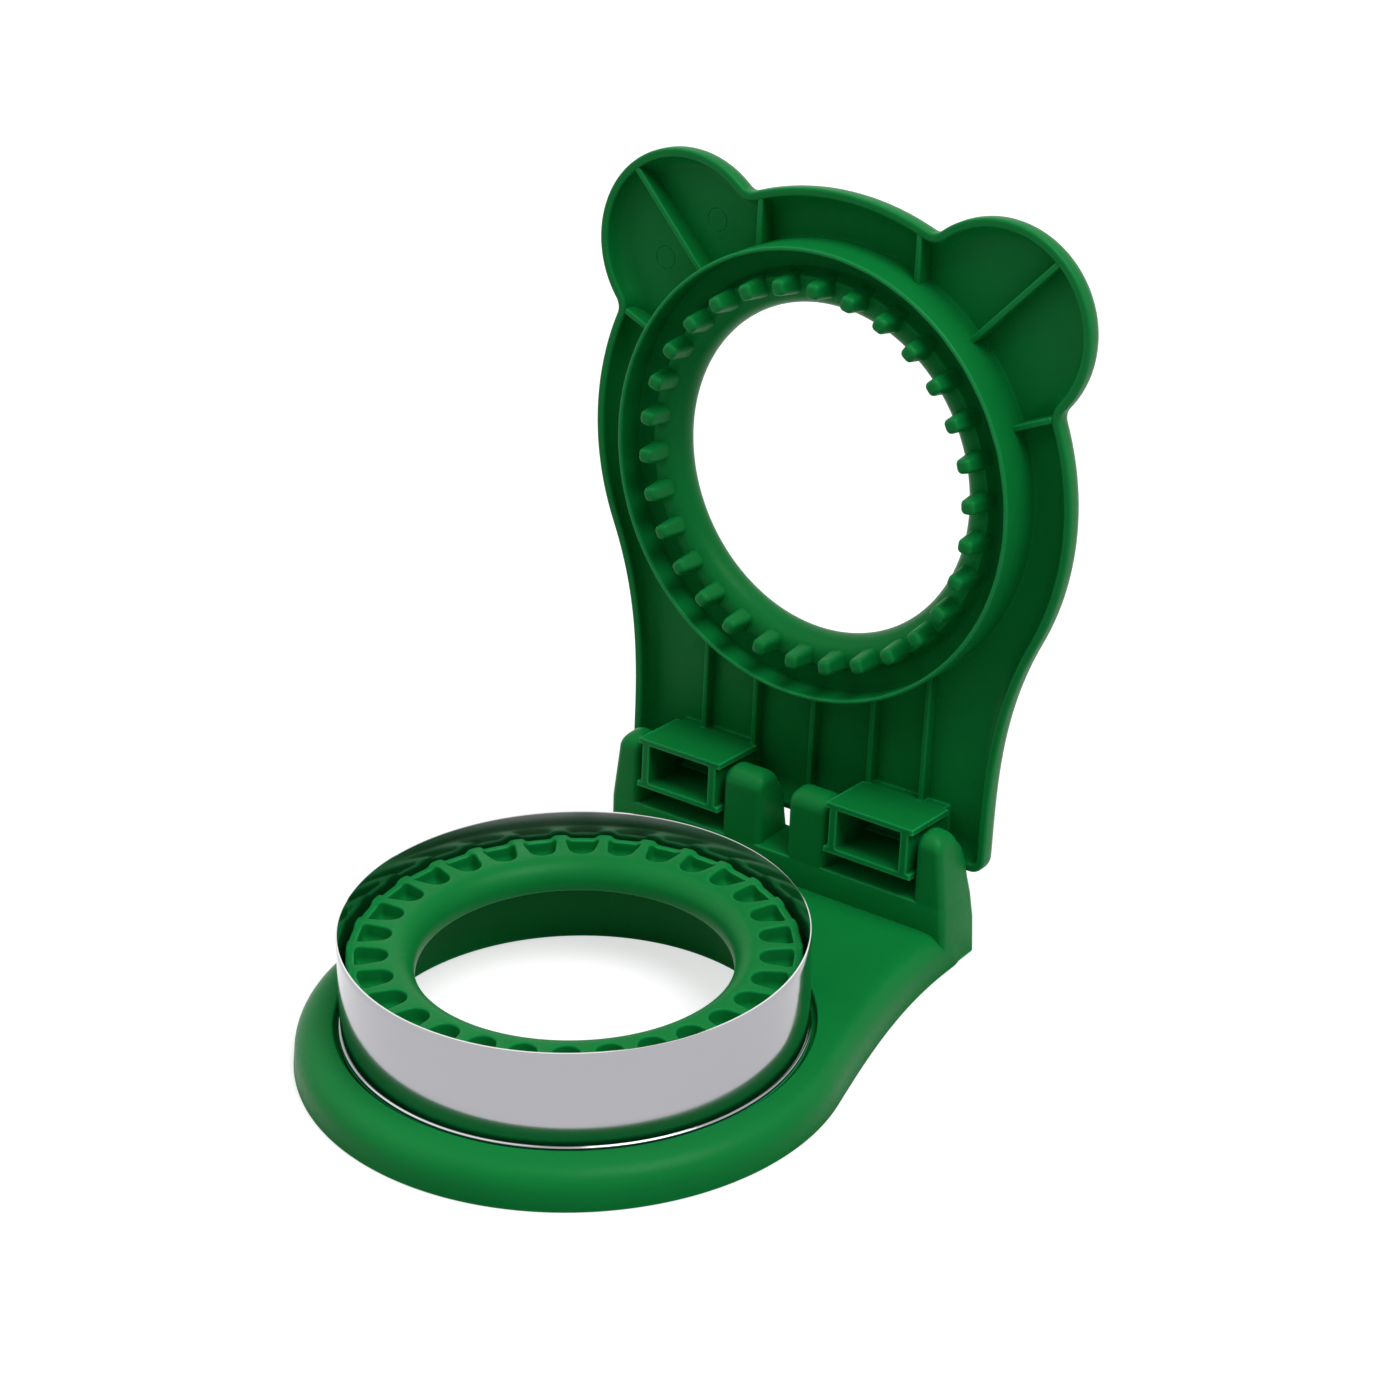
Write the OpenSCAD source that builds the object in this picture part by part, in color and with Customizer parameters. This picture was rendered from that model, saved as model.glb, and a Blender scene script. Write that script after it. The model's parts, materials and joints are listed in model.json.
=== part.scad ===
// Sandwich cutter and sealer: a round steel cutter stands on a flat base, and
// a bear-eared lid with a toothed ring folds down over it on a snap-in hinge.
// Everything is drawn about the axis of the round cutter, with x along the
// hinge, y towards the hinge and z up from the table. The lid is drawn shut
// and then swung open. Last, the whole part moves along y so that its origin
// is the middle of the bottom of its bounding box.

/* [Cutter] */
// Outer diameter of the steel cutter
cutter_d = 90; // [88:1:92]
// Thickness of the steel
cutter_wall = 0.4; // [0.3:0.1:0.5]
// Height of the cutting edge above the table
cutter_top = 27.7; // [27.2:0.1:28]
// Height of the foot of the steel above the table
cutter_foot = 7.2; // [7:0.1:7.4]
// How far the hem at the foot stands out
hem_out = 0.4; // [0.3:0.05:0.5]
// Height of the hem
hem_h = 0.8; // [0.6:0.1:1]

/* [Base plate] */
// Height of the plate
plate_h = 8.2; // [8:0.1:8.6]
// Radius of the round front of the plate
plate_r = 53.8; // [53.6:0.1:54.6]
// How far the centre of the round front lies in front of the cutter's
plate_shift = 0.6; // [0.4:0.1:1]
// Radius of the rounded top edge
plate_edge_r = 5; // [4.4:0.1:5.2]
// Slope of the side wall, as a width
plate_draft = 0.3; // [0.2:0.1:0.4]
// Thickness of the moulded walls
skin = 2.4; // [2:0.1:2.6]
// Thickness of the rim under the tail
rim_w = 3; // [2.8:0.1:3.2]
// Half width of the tail at the hinge
tail_w = 42.5; // [42.3:0.1:43]
// Distance from the cutter's axis to where the tail runs straight
tail_y = 66; // [64:0.5:68]
// Gap between the steel and the plate
groove_w = 1.35; // [1.2:0.05:1.5]

/* [Press ring] */
// Height of the top of the notched ring
land_z = 23.3; // [23:0.1:23.6]
// Gap between the steel and the notched ring
press_gap = 1.25; // [1:0.05:1.6]
// Radius of the crest of the ring's round inner part
crest_r = 35; // [34.8:0.1:35.1]
// Radius of curvature of the round inner part, down to the hole
bulge_r = 4.6; // [4.4:0.1:4.8]
// Height of the upright lip under it
lip_h = 1.2; // [1:0.1:1.4]
// Number of notches and of teeth
tooth_n = 30; // [24:2:30]
// Inner radius of the notches
pit_in = 35.2; // [35:0.1:35.3]
// Outer radius of the notches
pit_out = 41.3; // [41:0.1:41.6]
// Height of the floor of the notches
pit_z = 19.6; // [19.4:0.1:19.7]
// Radius at the edge of the notch floor
pit_edge_r = 1.5; // [1.2:0.1:1.8]
// Width of a notch at its outer end
pit_w = 6.4; // [6:0.1:6.6]
// Width of a notch at its inner end
pit_w_in = 5.1; // [5:0.1:5.4]
// How far the wall outside each notch is lowered
ledge_drop = 0.35; // [0.2:0.05:0.6]
// Width of the flange under the plate
flange_w = 4; // [3.6:0.1:4.4]
// Height of the bottom of the ring above the table
press_foot = 0.5; // [0.3:0.1:0.8]
// Thickness of the ring's walls
dome_skin = 1.8; // [1.6:0.1:2]
// Radius of the ring's outer top edge
press_edge_r = 0.6; // [0.4:0.1:0.8]

/* [Hinge] */
// Distance from the cutter's axis to the hinge axis
hinge_y = 70.8; // [70.6:0.1:71]
// Height of the hinge axis
hinge_z = 22.8; // [22.7:0.1:22.9]
// Angle the lid is open in the picture, in degrees
open_angle = 94; // [92:1:95]
// Front face of the hinge block
block_y = 64.94; // [64.6:0.02:65.1]
// Back of the hinge block at the table
block_back_y = 77.2; // [76.8:0.1:77.6]
// Height of the floor of the slots
slot_z = 14.4; // [13.8:0.1:14.6]
// Inner side of each slot, as a share of the tail's half width
slot_in_share = 0.30353; // [0.3:0.0005:0.306]
// Outer side of each slot, as a share of the tail's half width
slot_out_share = 0.80706; // [0.805:0.001:0.81]
// Half width of the gap in the middle, as a share of the tail's
gap_share = 0.08141; // [0.076:0.0002:0.086]
// Height of the tops of the lugs
lug_top = 29.5; // [29.3:0.1:29.6]
// Radius of the tops of the lugs, seen from the side
lug_top_r = 3.7; // [3.6:0.1:3.8]
// Radius of the outer shoulders of the lugs
lug_shoulder_r = 4; // [3.8:0.1:4.2]
// Radius of the other corners of the lugs
lug_corner_r = 2.6; // [2.4:0.1:2.8]
// How far the front of the lugs leans back
lug_lean = 0.6; // [0.4:0.1:0.8]
// Radius of the hinge studs
stud_r = 2; // [1.8:0.1:2.2]
// How deep the studs reach into the lugs
stud_in = 2.4; // [2:0.1:2.6]
// Radial play of the studs in their sockets
stud_play = 0.08; // [0.05:0.01:0.1]
// Gap between the lid and the lugs where the open lid stops
stop_gap = 0.12; // [0.1:0.01:0.2]

/* [Lid] */
// Height of the edge of the lid's ring when shut
lid_z = 21.7; // [21.6:0.1:21.8]
// Depth from that edge to the back face of the lid
back_w = 12.3; // [12.1:0.1:12.5]
// Thickness of the lid
lid_skin = 2; // [1.8:0.1:2.2]
// Depth from the ring's edge to the rim around the lid
rim_depth = 6.3; // [6.2:0.1:6.4]
// Thickness of that rim
lid_rim_w = 1.8; // [1.7:0.1:2]
// Radius of the edges of that rim
rim_edge_r = 0.5; // [0.4:0.1:0.6]
// Radius of the rounded back edge
lid_edge_r = 4.2; // [4:0.1:4.4]
// Radius where the wall meets the floor inside
lid_fillet_r = 3.2; // [3:0.1:3.4]
// Radius of the lid's round body
lid_r = 56.6; // [56.2:0.1:57]
// Sideways distance to the centre of an ear
ear_x = 36.4; // [36.2:0.1:36.8]
// Forward distance to the centre of an ear
ear_y = 37.5; // [37.2:0.1:37.9]
// Radius of an ear
ear_r = 20.8; // [20.6:0.1:21]
// Radius of the notches beside the ears
nick_r = 3; // [2.6:0.1:3.4]
// How far the lid is wider than the tail on each side
lid_over = 1.5; // [1.4:0.1:1.7]
// Distance from the ring's centre to the end of the lid
lid_end = 75; // [74.9:0.1:75.1]
// Radius of the corners at the hinge end
lid_corner_r = 3.2; // [2.8:0.1:3.2]
// Outer radius of the lid's ring
ring_r = 46.3; // [46.2:0.05:46.4]
// Thickness of the ring's edge
ring_wall = 0.9; // [0.8:0.02:0.95]
// Depth of the channel that the steel enters
channel_w = 6.3; // [6.3:0.05:6.4]
// Inner radius of that channel
channel_in = 41; // [40.9:0.05:41.1]
// Depth of the crest that carries the teeth
crest_w = 3.7; // [3.6:0.1:3.8]
// Radius of the hole in the lid
throat_r = 33.9; // [33.6:0.1:34.2]

/* [Teeth] */
// How far the tips stand past the ring's edge
tip_out = 1.66; // [1.6:0.02:1.7]
// Radius of the circle of teeth
tooth_r = 38.4; // [38.3:0.05:38.5]
// Width of a tip along the circle
tip_w = 3.7; // [3.5:0.1:3.8]
// Length of a tip across the circle
tip_l = 3.8; // [3.6:0.1:3.9]
// How much wider the root is on each side
tooth_draft = 0.25; // [0.15:0.05:0.3]
// Radius of the edges of the tips
tip_edge_r = 0.8; // [0.6:0.1:0.9]

/* [Ribs and hinge boxes] */
// Thickness of the ribs
rib_w = 1.2; // [1:0.1:1.4]
// Depth from the ring's edge to the low ribs
low_rib = 8; // [7.8:0.1:8.4]
// Distance of the inner low ribs from the slots' inner sides
rib_in = 1.5; // [1.3:0.1:1.7]
// Distance of the outer low ribs from the slots' outer sides
rib_out = 7.2; // [7:0.1:7.4]
// Spacing of the upright ribs beside the ears
nick_rib_x = 18.4; // [18.2:0.1:18.6]
// Direction of the long rib in each ear, in degrees
ear_rib_angle = 47; // [46:1:48]
// Direction of the short rib under each ear, in degrees
side_rib_angle = 24; // [23:1:25]
// How far the hinge boxes stand in front of the ring's edge
box_out = 5.2; // [5.1:0.1:5.3]
// Distance from the ring's centre to the near side of the boxes
box_y = 64; // [63.9:0.1:64.1]
// Thickness of the plates above and below the box opening
box_plate = 1.1; // [1:0.1:1.2]
// How far those plates overhang the side walls
box_lip = 1; // [0.9:0.1:1.1]
// Thickness of the box side walls
box_side = 2.2; // [2.1:0.1:2.4]
// Gap between a box and the sides of its slot
box_gap = 0.35; // [0.3:0.05:0.4]

/* [Hidden] */
$fn = 96;

green = [0.05, 0.48, 0.19];
steel = [0.80, 0.80, 0.82];

// Reach of the cuts past the faces they open
past = skin;
// Depth by which joined pieces run into each other
join = skin / 6;
// Small step where two faces of one moulding would otherwise be flush
step = join / 4;

cutter_r = cutter_d / 2;
opening_r = cutter_r + groove_w;
press_r = cutter_r - cutter_wall - press_gap;
slot_in = tail_w * slot_in_share;
slot_out = tail_w * slot_out_share;
gap_w = tail_w * gap_share;
lid_tail_w = tail_w + lid_over;
rib_x = slot_in + rib_in;
rib_x2 = slot_out - rib_out;
flange_r = opening_r + flange_w;
flange_z = plate_h - skin;
floor_w = back_w - lid_skin;

// Points along an arc, each with the direction that faces out of the outline
function arc_run(c, r, a0, a1, n, side = 1) = [
    for (i = [0:n])
        let (a = a0 + (a1 - a0) * i / n, d = [cos(a), sin(a)])
        [c + r * d, side * d]
];

// The same points without the two ends
function inner_run(run) = [for (i = [1:len(run) - 2]) run[i]];

// Points along an S-bend between two ends, without the ends themselves
function bend_run(p0, p1, p2, p3, n) = [
    for (i = [1:n - 1])
        let (
            t = i / n,
            s = 1 - t,
            p = s * s * s * p0 + 3 * s * s * t * p1 + 3 * s * t * t * p2 + t * t * t * p3,
            d = s * s * (p1 - p0) + 2 * s * t * (p2 - p1) + t * t * (p3 - p2)
        )
        [p, [d[1], -d[0]] / norm(d)]
];

// Points round a square corner, with the inset at which it has become sharp
sharp_share = 0.95;
function corner_run(c, r, n) = [
    for (i = [0:n])
        let (a = 90 * i / n, d = [cos(a), sin(a)])
        [c + r * d, d, r * sharp_share]
];

// One outline point moved inwards by a distance
function inset_point(q, d) =
    let (over = len(q) > 2 ? max(d - q[2], 0) : 0)
    q[0] - (d - over) * q[1] - over * [sign(q[0][0]), 1];

function inset(run, d) = [for (q = run) inset_point(q, d)];

function mirrored(q) = concat(
    [[-q[0][0], q[0][1]], [-q[1][0], q[1][1]]],
    len(q) > 2 ? [q[2]] : []
);

// A right half, run from front to back, and its mirror image run back again
function both_halves(half) = concat(
    half,
    [for (i = [len(half) - 1:-1:1]) mirrored(half[i])]
);

// Inset and height along part of a circle, seen in section
function round_levels(c, r, a0, a1, n) = [
    for (i = [0:n])
        let (a = a0 + (a1 - a0) * i / n)
        c + r * [cos(a), sin(a)]
];

// One outline at several insets and heights, skinned over. Each end is closed
// by a fan of triangles about the axis of the cutter.
module loft(run, levels) {
    n = len(run);
    last = len(levels) - 1;
    top = last * n;
    middle = top + n;
    sides = [
        for (k = [0:last - 1])
            for (i = [0:n - 1])
                let (j = (i + 1) % n, a = k * n, b = a + n)
                each [[a + i, b + i, b + j], [a + i, b + j, a + j]]
    ];
    fans = [
        for (i = [0:n - 1])
            let (j = (i + 1) % n)
            each [[middle, i, j], [middle + 1, top + j, top + i]]
    ];
    polyhedron(
        points = concat(
            [for (lv = levels) for (p = inset(run, lv[0])) [p[0], p[1], lv[1]]],
            [[0, 0, levels[0][1]], [0, 0, levels[last][1]]]
        ),
        faces = concat(sides, fans)
    );
}

// Outline of the plate, from the middle of its front to the hinge
bend_angle = 15.4;
bend_share = 0.33;
bend_start = [0, -plate_shift] + plate_r * [cos(bend_angle), sin(bend_angle)];
bend_end = [tail_w, tail_y];
bend_reach = bend_share * norm(bend_end - bend_start);
plate_corner = plate_edge_r / 3;
plate_end_y = block_back_y - plate_edge_r / 2;
plate_run = both_halves(concat(
    arc_run([0, -plate_shift], plate_r, -90, bend_angle, 30),
    bend_run(
        bend_start,
        bend_start + bend_reach * [-sin(bend_angle), cos(bend_angle)],
        bend_end - [0, bend_reach],
        bend_end,
        14
    ),
    [[bend_end, [1, 0]]],
    corner_run([tail_w, plate_end_y] - plate_corner * [1, 1], plate_corner, 3)
));

// Outline of the lid when shut, with its ears towards the front
function heading(from, to) = atan2(to[1] - from[1], to[0] - from[0]);
lid_bend_angle = 24.5;
lid_bend_share = 0.36;
lid_straight_share = 0.88;
ear_c = [ear_x, -ear_y];
ear_far = norm(ear_c);
ear_turn = heading([0, 0], ear_c);
nick_far = lid_r + nick_r;
nick_near = ear_r + nick_r;
nick_cos = (pow(nick_far, 2) + pow(ear_far, 2) - pow(nick_near, 2)) / (2 * nick_far * ear_far);
nick_spread = acos(nick_cos);
front_turn = ear_turn - nick_spread;
side_turn = ear_turn + nick_spread;
front_nick = nick_far * [cos(front_turn), sin(front_turn)];
side_nick = nick_far * [cos(side_turn), sin(side_turn)];
lid_bend_start = lid_r * [cos(lid_bend_angle), sin(lid_bend_angle)];
lid_bend_end = [lid_tail_w, lid_end * lid_straight_share];
lid_bend_reach = lid_bend_share * norm(lid_bend_end - lid_bend_start);
lid_run = both_halves(concat(
    arc_run([0, 0], lid_r, -90, front_turn, 9),
    inner_run(arc_run(front_nick, nick_r, front_turn + 180, heading(front_nick, ear_c), 6, -1)),
    arc_run(ear_c, ear_r, heading(ear_c, front_nick), heading(ear_c, side_nick), 26),
    inner_run(arc_run(side_nick, nick_r, heading(side_nick, ear_c) + 360, side_turn + 180, 6, -1)),
    arc_run([0, 0], lid_r, side_turn, lid_bend_angle, 14),
    bend_run(
        lid_bend_start,
        lid_bend_start + lid_bend_reach * [-sin(lid_bend_angle), cos(lid_bend_angle)],
        lid_bend_end - [0, lid_bend_reach],
        lid_bend_end,
        14
    ),
    [[lid_bend_end, [1, 0]]],
    corner_run([lid_tail_w, lid_end] - lid_corner_r * [1, 1], lid_corner_r, 5)
));

// A point of the shut lid, as y and z, once the lid is open
function opened(p) = [
    hinge_y + (p[0] - hinge_y) * cos(open_angle) + (p[1] - hinge_z) * sin(open_angle),
    hinge_z - (p[0] - hinge_y) * sin(open_angle) + (p[1] - hinge_z) * cos(open_angle)
];

// Middle of the bounding box along y: the plate's front and the open ears' back
ear_edge = opened([-ear_y - ear_r + lid_edge_r, lid_z + back_w - lid_edge_r]);
row_y = (ear_edge[0] + lid_edge_r - plate_r - plate_shift) / 2;

module in_row() {
    translate([0, -row_y, 0]) children();
}

// The shut lid's own heights, counted from its ring's edge, swung open
module lid_open() {
    translate([0, hinge_y, hinge_z])
        rotate([-open_angle, 0, 0])
        translate([0, -hinge_y, lid_z - hinge_z])
        children();
}

// A block between two opposite corners
module block(a, b) {
    translate(a) cube(b - a);
}

module both_sides() {
    children();
    mirror([1, 0, 0]) children();
}

// Rounded plate, open underneath behind the ring's seat
module plate() {
    difference() {
        loft(plate_run, concat(
            [[0, 0]],
            round_levels([plate_edge_r + plate_draft, plate_h - plate_edge_r], plate_edge_r, 180, 90, 7)
        ));
        difference() {
            translate([0, 0, -past])
                linear_extrude(flange_z + past)
                polygon(inset(plate_run, rim_w));
            cylinder(r = flange_r + skin, h = plate_h);
        }
    }
}

// Lugs and their block, seen from the front
block_side_w = tail_w - plate_draft;
shoulder_x = block_side_w - stud_r - lug_shoulder_r;
module lug_front() {
    corner_z = lug_top - lug_corner_r;
    shoulder_z = lug_top - lug_shoulder_r;
    polygon([
        [0, 0], [block_side_w, 0], [block_side_w - lug_lean, slot_z], [0, slot_z]
    ]);
    polygon([
        [slot_out, 0],
        [block_side_w, 0],
        [block_side_w - lug_lean, slot_z],
        [shoulder_x + lug_shoulder_r, shoulder_z],
        [slot_out + lug_corner_r, shoulder_z],
        [slot_out + lug_corner_r, corner_z],
        [slot_out, corner_z]
    ]);
    intersection() {
        translate([shoulder_x, shoulder_z]) circle(lug_shoulder_r);
        translate([slot_out + lug_corner_r, shoulder_z]) square(2 * lug_shoulder_r);
    }
    translate([slot_out + lug_corner_r, corner_z]) circle(lug_corner_r);
    translate([gap_w, 0]) square([slot_in - gap_w, corner_z]);
    translate([gap_w + lug_corner_r, 0]) square([slot_in - gap_w - 2 * lug_corner_r, lug_top]);
    translate([gap_w + lug_corner_r, corner_z]) circle(lug_corner_r);
    translate([slot_in - lug_corner_r, corner_z]) circle(lug_corner_r);
}

// Lugs and their block, seen from the side, with the face that stops the lid
boss_r = 2 * stud_r;
boss_turn = 30;
module lug_side() {
    top_y = block_y + lug_lean + lug_top_r;
    top_z = lug_top - lug_top_r;
    rim_z = lid_z + rim_depth;
    stop_high = opened([lid_end - lid_rim_w, rim_z]) - [stop_gap, 0];
    stop_low = opened([lid_end, rim_z]) - [stop_gap, 0];
    polygon([
        [block_y, 0],
        [block_back_y, 0],
        [block_back_y, plate_h],
        stop_low,
        stop_high,
        [hinge_y + boss_r, hinge_z],
        [hinge_y + boss_r * cos(boss_turn), hinge_z + boss_r * sin(boss_turn)],
        [top_y + lug_top_r, top_z],
        [top_y - lug_top_r, top_z],
        [block_y, slot_z]
    ]);
    translate([top_y, top_z]) circle(lug_top_r);
    translate([hinge_y, hinge_z]) circle(boss_r);
}

module hinge_block() {
    difference() {
        intersection() {
            translate([0, block_back_y + past, 0])
                rotate([90, 0, 0])
                linear_extrude(block_back_y - block_y + 2 * past)
                both_sides() lug_front();
            translate([-tail_w - past, 0, 0])
                rotate([90, 0, 90])
                linear_extrude(2 * (tail_w + past))
                lug_side();
        }
        block(
            [rim_w - tail_w, block_y + skin, -past],
            [tail_w - rim_w, block_back_y - skin, slot_z - skin]
        );
    }
}

// Blind sockets that the lid's studs turn in
module sockets() {
    reach = stud_in + box_gap;
    both_sides()
        translate([slot_in - reach, hinge_y, hinge_z])
        rotate([0, 90, 0])
        cylinder(r = stud_r + stud_play, h = slot_out - slot_in + 2 * reach);
}

module base_body() {
    color(green) in_row() difference() {
        union() {
            difference() {
                plate();
                block(
                    [rim_w - tail_w, block_y - join, -past],
                    [tail_w - rim_w, block_back_y - skin, slot_z - skin]
                );
            }
            hinge_block();
        }
        translate([0, 0, -past]) cylinder(r = opening_r, h = plate_h + 2 * past);
        translate([0, 0, -past]) cylinder(r = flange_r, h = flange_z + past);
        sockets();
    }
}

// Section of the notched ring, as radius and height
foot_r = cutter_r - cutter_wall;
seat_r = cutter_r + hem_out;
hole_r = crest_r - bulge_r;
bulge_z = land_z - bulge_r;
lip_z = bulge_z - lip_h;
module press_section() {
    dome_z = pit_z - dome_skin + cutter_wall;
    hollow_r = (bulge_r - dome_skin) / 2;
    difference() {
        union() {
            polygon([
                [crest_r, press_foot],
                [seat_r, press_foot],
                [seat_r, flange_z - skin],
                [flange_r - stop_gap, flange_z - skin],
                [flange_r - stop_gap, flange_z],
                [seat_r, flange_z],
                [seat_r, cutter_foot],
                [foot_r, cutter_foot],
                [foot_r, cutter_foot + 2 * skin],
                [press_r, cutter_foot + 2 * skin + (foot_r - press_r)],
                [press_r, land_z - press_edge_r],
                [press_r - press_edge_r, land_z - press_edge_r],
                [press_r - press_edge_r, land_z],
                [crest_r, land_z]
            ]);
            translate([press_r - press_edge_r, land_z - press_edge_r]) circle(press_edge_r);
            intersection() {
                translate([crest_r, bulge_z]) circle(bulge_r);
                translate([0, bulge_z]) square([crest_r + join, bulge_r + past]);
            }
            translate([hole_r, lip_z]) square([bulge_r + join, lip_h + join]);
        }
        polygon([
            [0, press_foot - past],
            [press_r - skin / 2, press_foot - past],
            [press_r - skin / 2, press_foot],
            [press_r - dome_skin, dome_z - cutter_wall * 3],
            [press_r - dome_skin - cutter_wall * 3, dome_z],
            [hole_r + dome_skin + hollow_r, dome_z],
            [hole_r + dome_skin, lip_z],
            [0, lip_z]
        ]);
        translate([hole_r + dome_skin + hollow_r, bulge_z]) circle(hollow_r);
    }
}

// Band that the notches are cut from, as radius and height
module pit_section() {
    edge_z = pit_z + pit_edge_r;
    translate([pit_in, edge_z]) square([pit_out - pit_in, past + land_z - edge_z]);
    translate([pit_in + pit_edge_r, pit_z]) square([pit_out - pit_in - 2 * pit_edge_r, past]);
    translate([pit_in + pit_edge_r, edge_z]) circle(pit_edge_r);
    translate([pit_out - pit_edge_r, edge_z]) circle(pit_edge_r);
}

// A notch seen from above, round at its inner end
module pit_plan() {
    round_r = pit_w_in / 2;
    translate([pit_in + round_r, 0]) circle(round_r);
    polygon([
        [pit_in + round_r, -round_r],
        [pit_out, -pit_w / 2],
        [pit_out + past, -pit_w / 2],
        [pit_out + past, pit_w / 2],
        [pit_out, pit_w / 2],
        [pit_in + round_r, round_r]
    ]);
}

module around(start) {
    for (i = [0:tooth_n - 1])
        rotate([0, 0, start + 360 * i / tooth_n])
        children();
}

tooth_start = 180 / tooth_n;
module press_ring() {
    color(green) in_row() difference() {
        rotate_extrude() press_section();
        intersection() {
            rotate_extrude() pit_section();
            around(tooth_start) linear_extrude(land_z + past) pit_plan();
        }
        around(tooth_start) block(
            [pit_out - pit_edge_r / 2, -pit_w / 2, land_z - ledge_drop],
            [press_r + past, pit_w / 2, land_z + past]
        );
    }
}

module cutter_ring() {
    color(steel) in_row() rotate_extrude() {
        translate([foot_r, cutter_foot]) square([cutter_wall, cutter_top - cutter_foot]);
        polygon([
            [foot_r + cutter_wall / 2, cutter_foot],
            [seat_r, cutter_foot],
            [seat_r, cutter_foot + hem_h / 2],
            [foot_r + cutter_wall, cutter_foot + hem_h],
            [foot_r + cutter_wall / 2, cutter_foot + hem_h]
        ]);
    }
}

// Rounded shell of the lid, hollow on the side that faces the base
module lid_shell() {
    fillet_c = [lid_rim_w + lid_fillet_r, floor_w - lid_fillet_r];
    loft(lid_run, concat(
        round_levels(fillet_c, lid_fillet_r, 90, 180, 4),
        round_levels([lid_rim_w - rim_edge_r, rim_depth + rim_edge_r], rim_edge_r, 0, -90, 2),
        round_levels([rim_edge_r, rim_depth + rim_edge_r], rim_edge_r, -90, -180, 2),
        round_levels([lid_edge_r, back_w - lid_edge_r], lid_edge_r, 180, 90, 6)
    ));
}

// Section of the lid's ring, as radius and depth from its edge
bull_r = (back_w - step - crest_w) / 2;
module ring_section() {
    bull_x = throat_r + bull_r;
    bull_w = crest_w + bull_r;
    edge_r = ring_wall / 2;
    step_r = channel_in - box_lip;
    translate([bull_x, bull_w]) circle(bull_r);
    polygon([
        [bull_x, crest_w],
        [step_r - cutter_wall, crest_w],
        [step_r, crest_w + cutter_wall],
        [channel_in, channel_w],
        [ring_r, channel_w],
        [ring_r, back_w - step],
        [bull_x, back_w - step]
    ]);
    translate([ring_r - ring_wall, edge_r]) square([ring_wall, channel_w]);
    translate([ring_r - edge_r, edge_r]) circle(edge_r);
}

// A tooth seen from beside it, as radius and depth, with its tip's edges rounded
tooth_root = (crest_w + channel_w) / 2 + join;
module tooth_across() {
    edge_w = tip_edge_r - tip_out;
    r0 = tooth_r - tip_l / 2;
    r1 = tooth_r + tip_l / 2;
    polygon([
        [r0, edge_w],
        [r1, edge_w],
        [r1 + tooth_draft, tooth_root],
        [r0 - tooth_draft, tooth_root]
    ]);
    translate([r0 + tip_edge_r, -tip_out]) square([tip_l - 2 * tip_edge_r, tip_edge_r + join]);
    translate([r0 + tip_edge_r, edge_w]) circle(tip_edge_r);
    translate([r1 - tip_edge_r, edge_w]) circle(tip_edge_r);
}

// A tooth seen along its radius
tip_chamfer_share = 0.6;
module tooth_along() {
    half = tip_w / 2;
    chamfer = tip_edge_r * tip_chamfer_share;
    polygon([
        [chamfer - half, -tip_out],
        [half - chamfer, -tip_out],
        [half, chamfer - tip_out],
        [half + tooth_draft, tooth_root],
        [-half - tooth_draft, tooth_root],
        [-half, chamfer - tip_out]
    ]);
}

module teeth() {
    around(tooth_start) intersection() {
        translate([0, tip_w, 0])
            rotate([90, 0, 0])
            linear_extrude(2 * tip_w)
            tooth_across();
        rotate([90, 0, 90])
            linear_extrude(ring_r)
            tooth_along();
    }
}

// A straight rib along y at a sideways place, from one y to another
module rib(x, y0, y1, w) {
    block([x - rib_w / 2, y0, w], [x + rib_w / 2, y1, floor_w + join]);
}

// A straight rib away from the ring's axis, at an angle from the side
module ray_rib(turn, far) {
    rotate([0, 0, -turn])
        block(
            [ring_r - ring_wall / 2, -rib_w / 2, rim_depth + step],
            [far, rib_w / 2, floor_w + join]
        );
}

module lid_ribs() {
    root_r = ring_r - ring_wall / 2;
    centre_end = hinge_y - lid_rim_w;
    rib(0, root_r, centre_end, low_rib);
    both_sides() {
        rib(rib_x, sqrt(pow(root_r, 2) - pow(rib_x, 2)), box_y + join, low_rib);
        rib(rib_x2, sqrt(pow(root_r, 2) - pow(rib_x2, 2)), box_y + join, low_rib);
        rib(
            nick_rib_x,
            lid_rim_w / 2 - sqrt(pow(lid_r, 2) - pow(nick_rib_x, 2)),
            -sqrt(pow(root_r, 2) - pow(nick_rib_x, 2)),
            rim_depth + step
        );
        ray_rib(ear_rib_angle, ear_far + ear_r - lid_rim_w / 2);
        ray_rib(side_rib_angle, lid_r - lid_rim_w / 2);
    }
}

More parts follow.
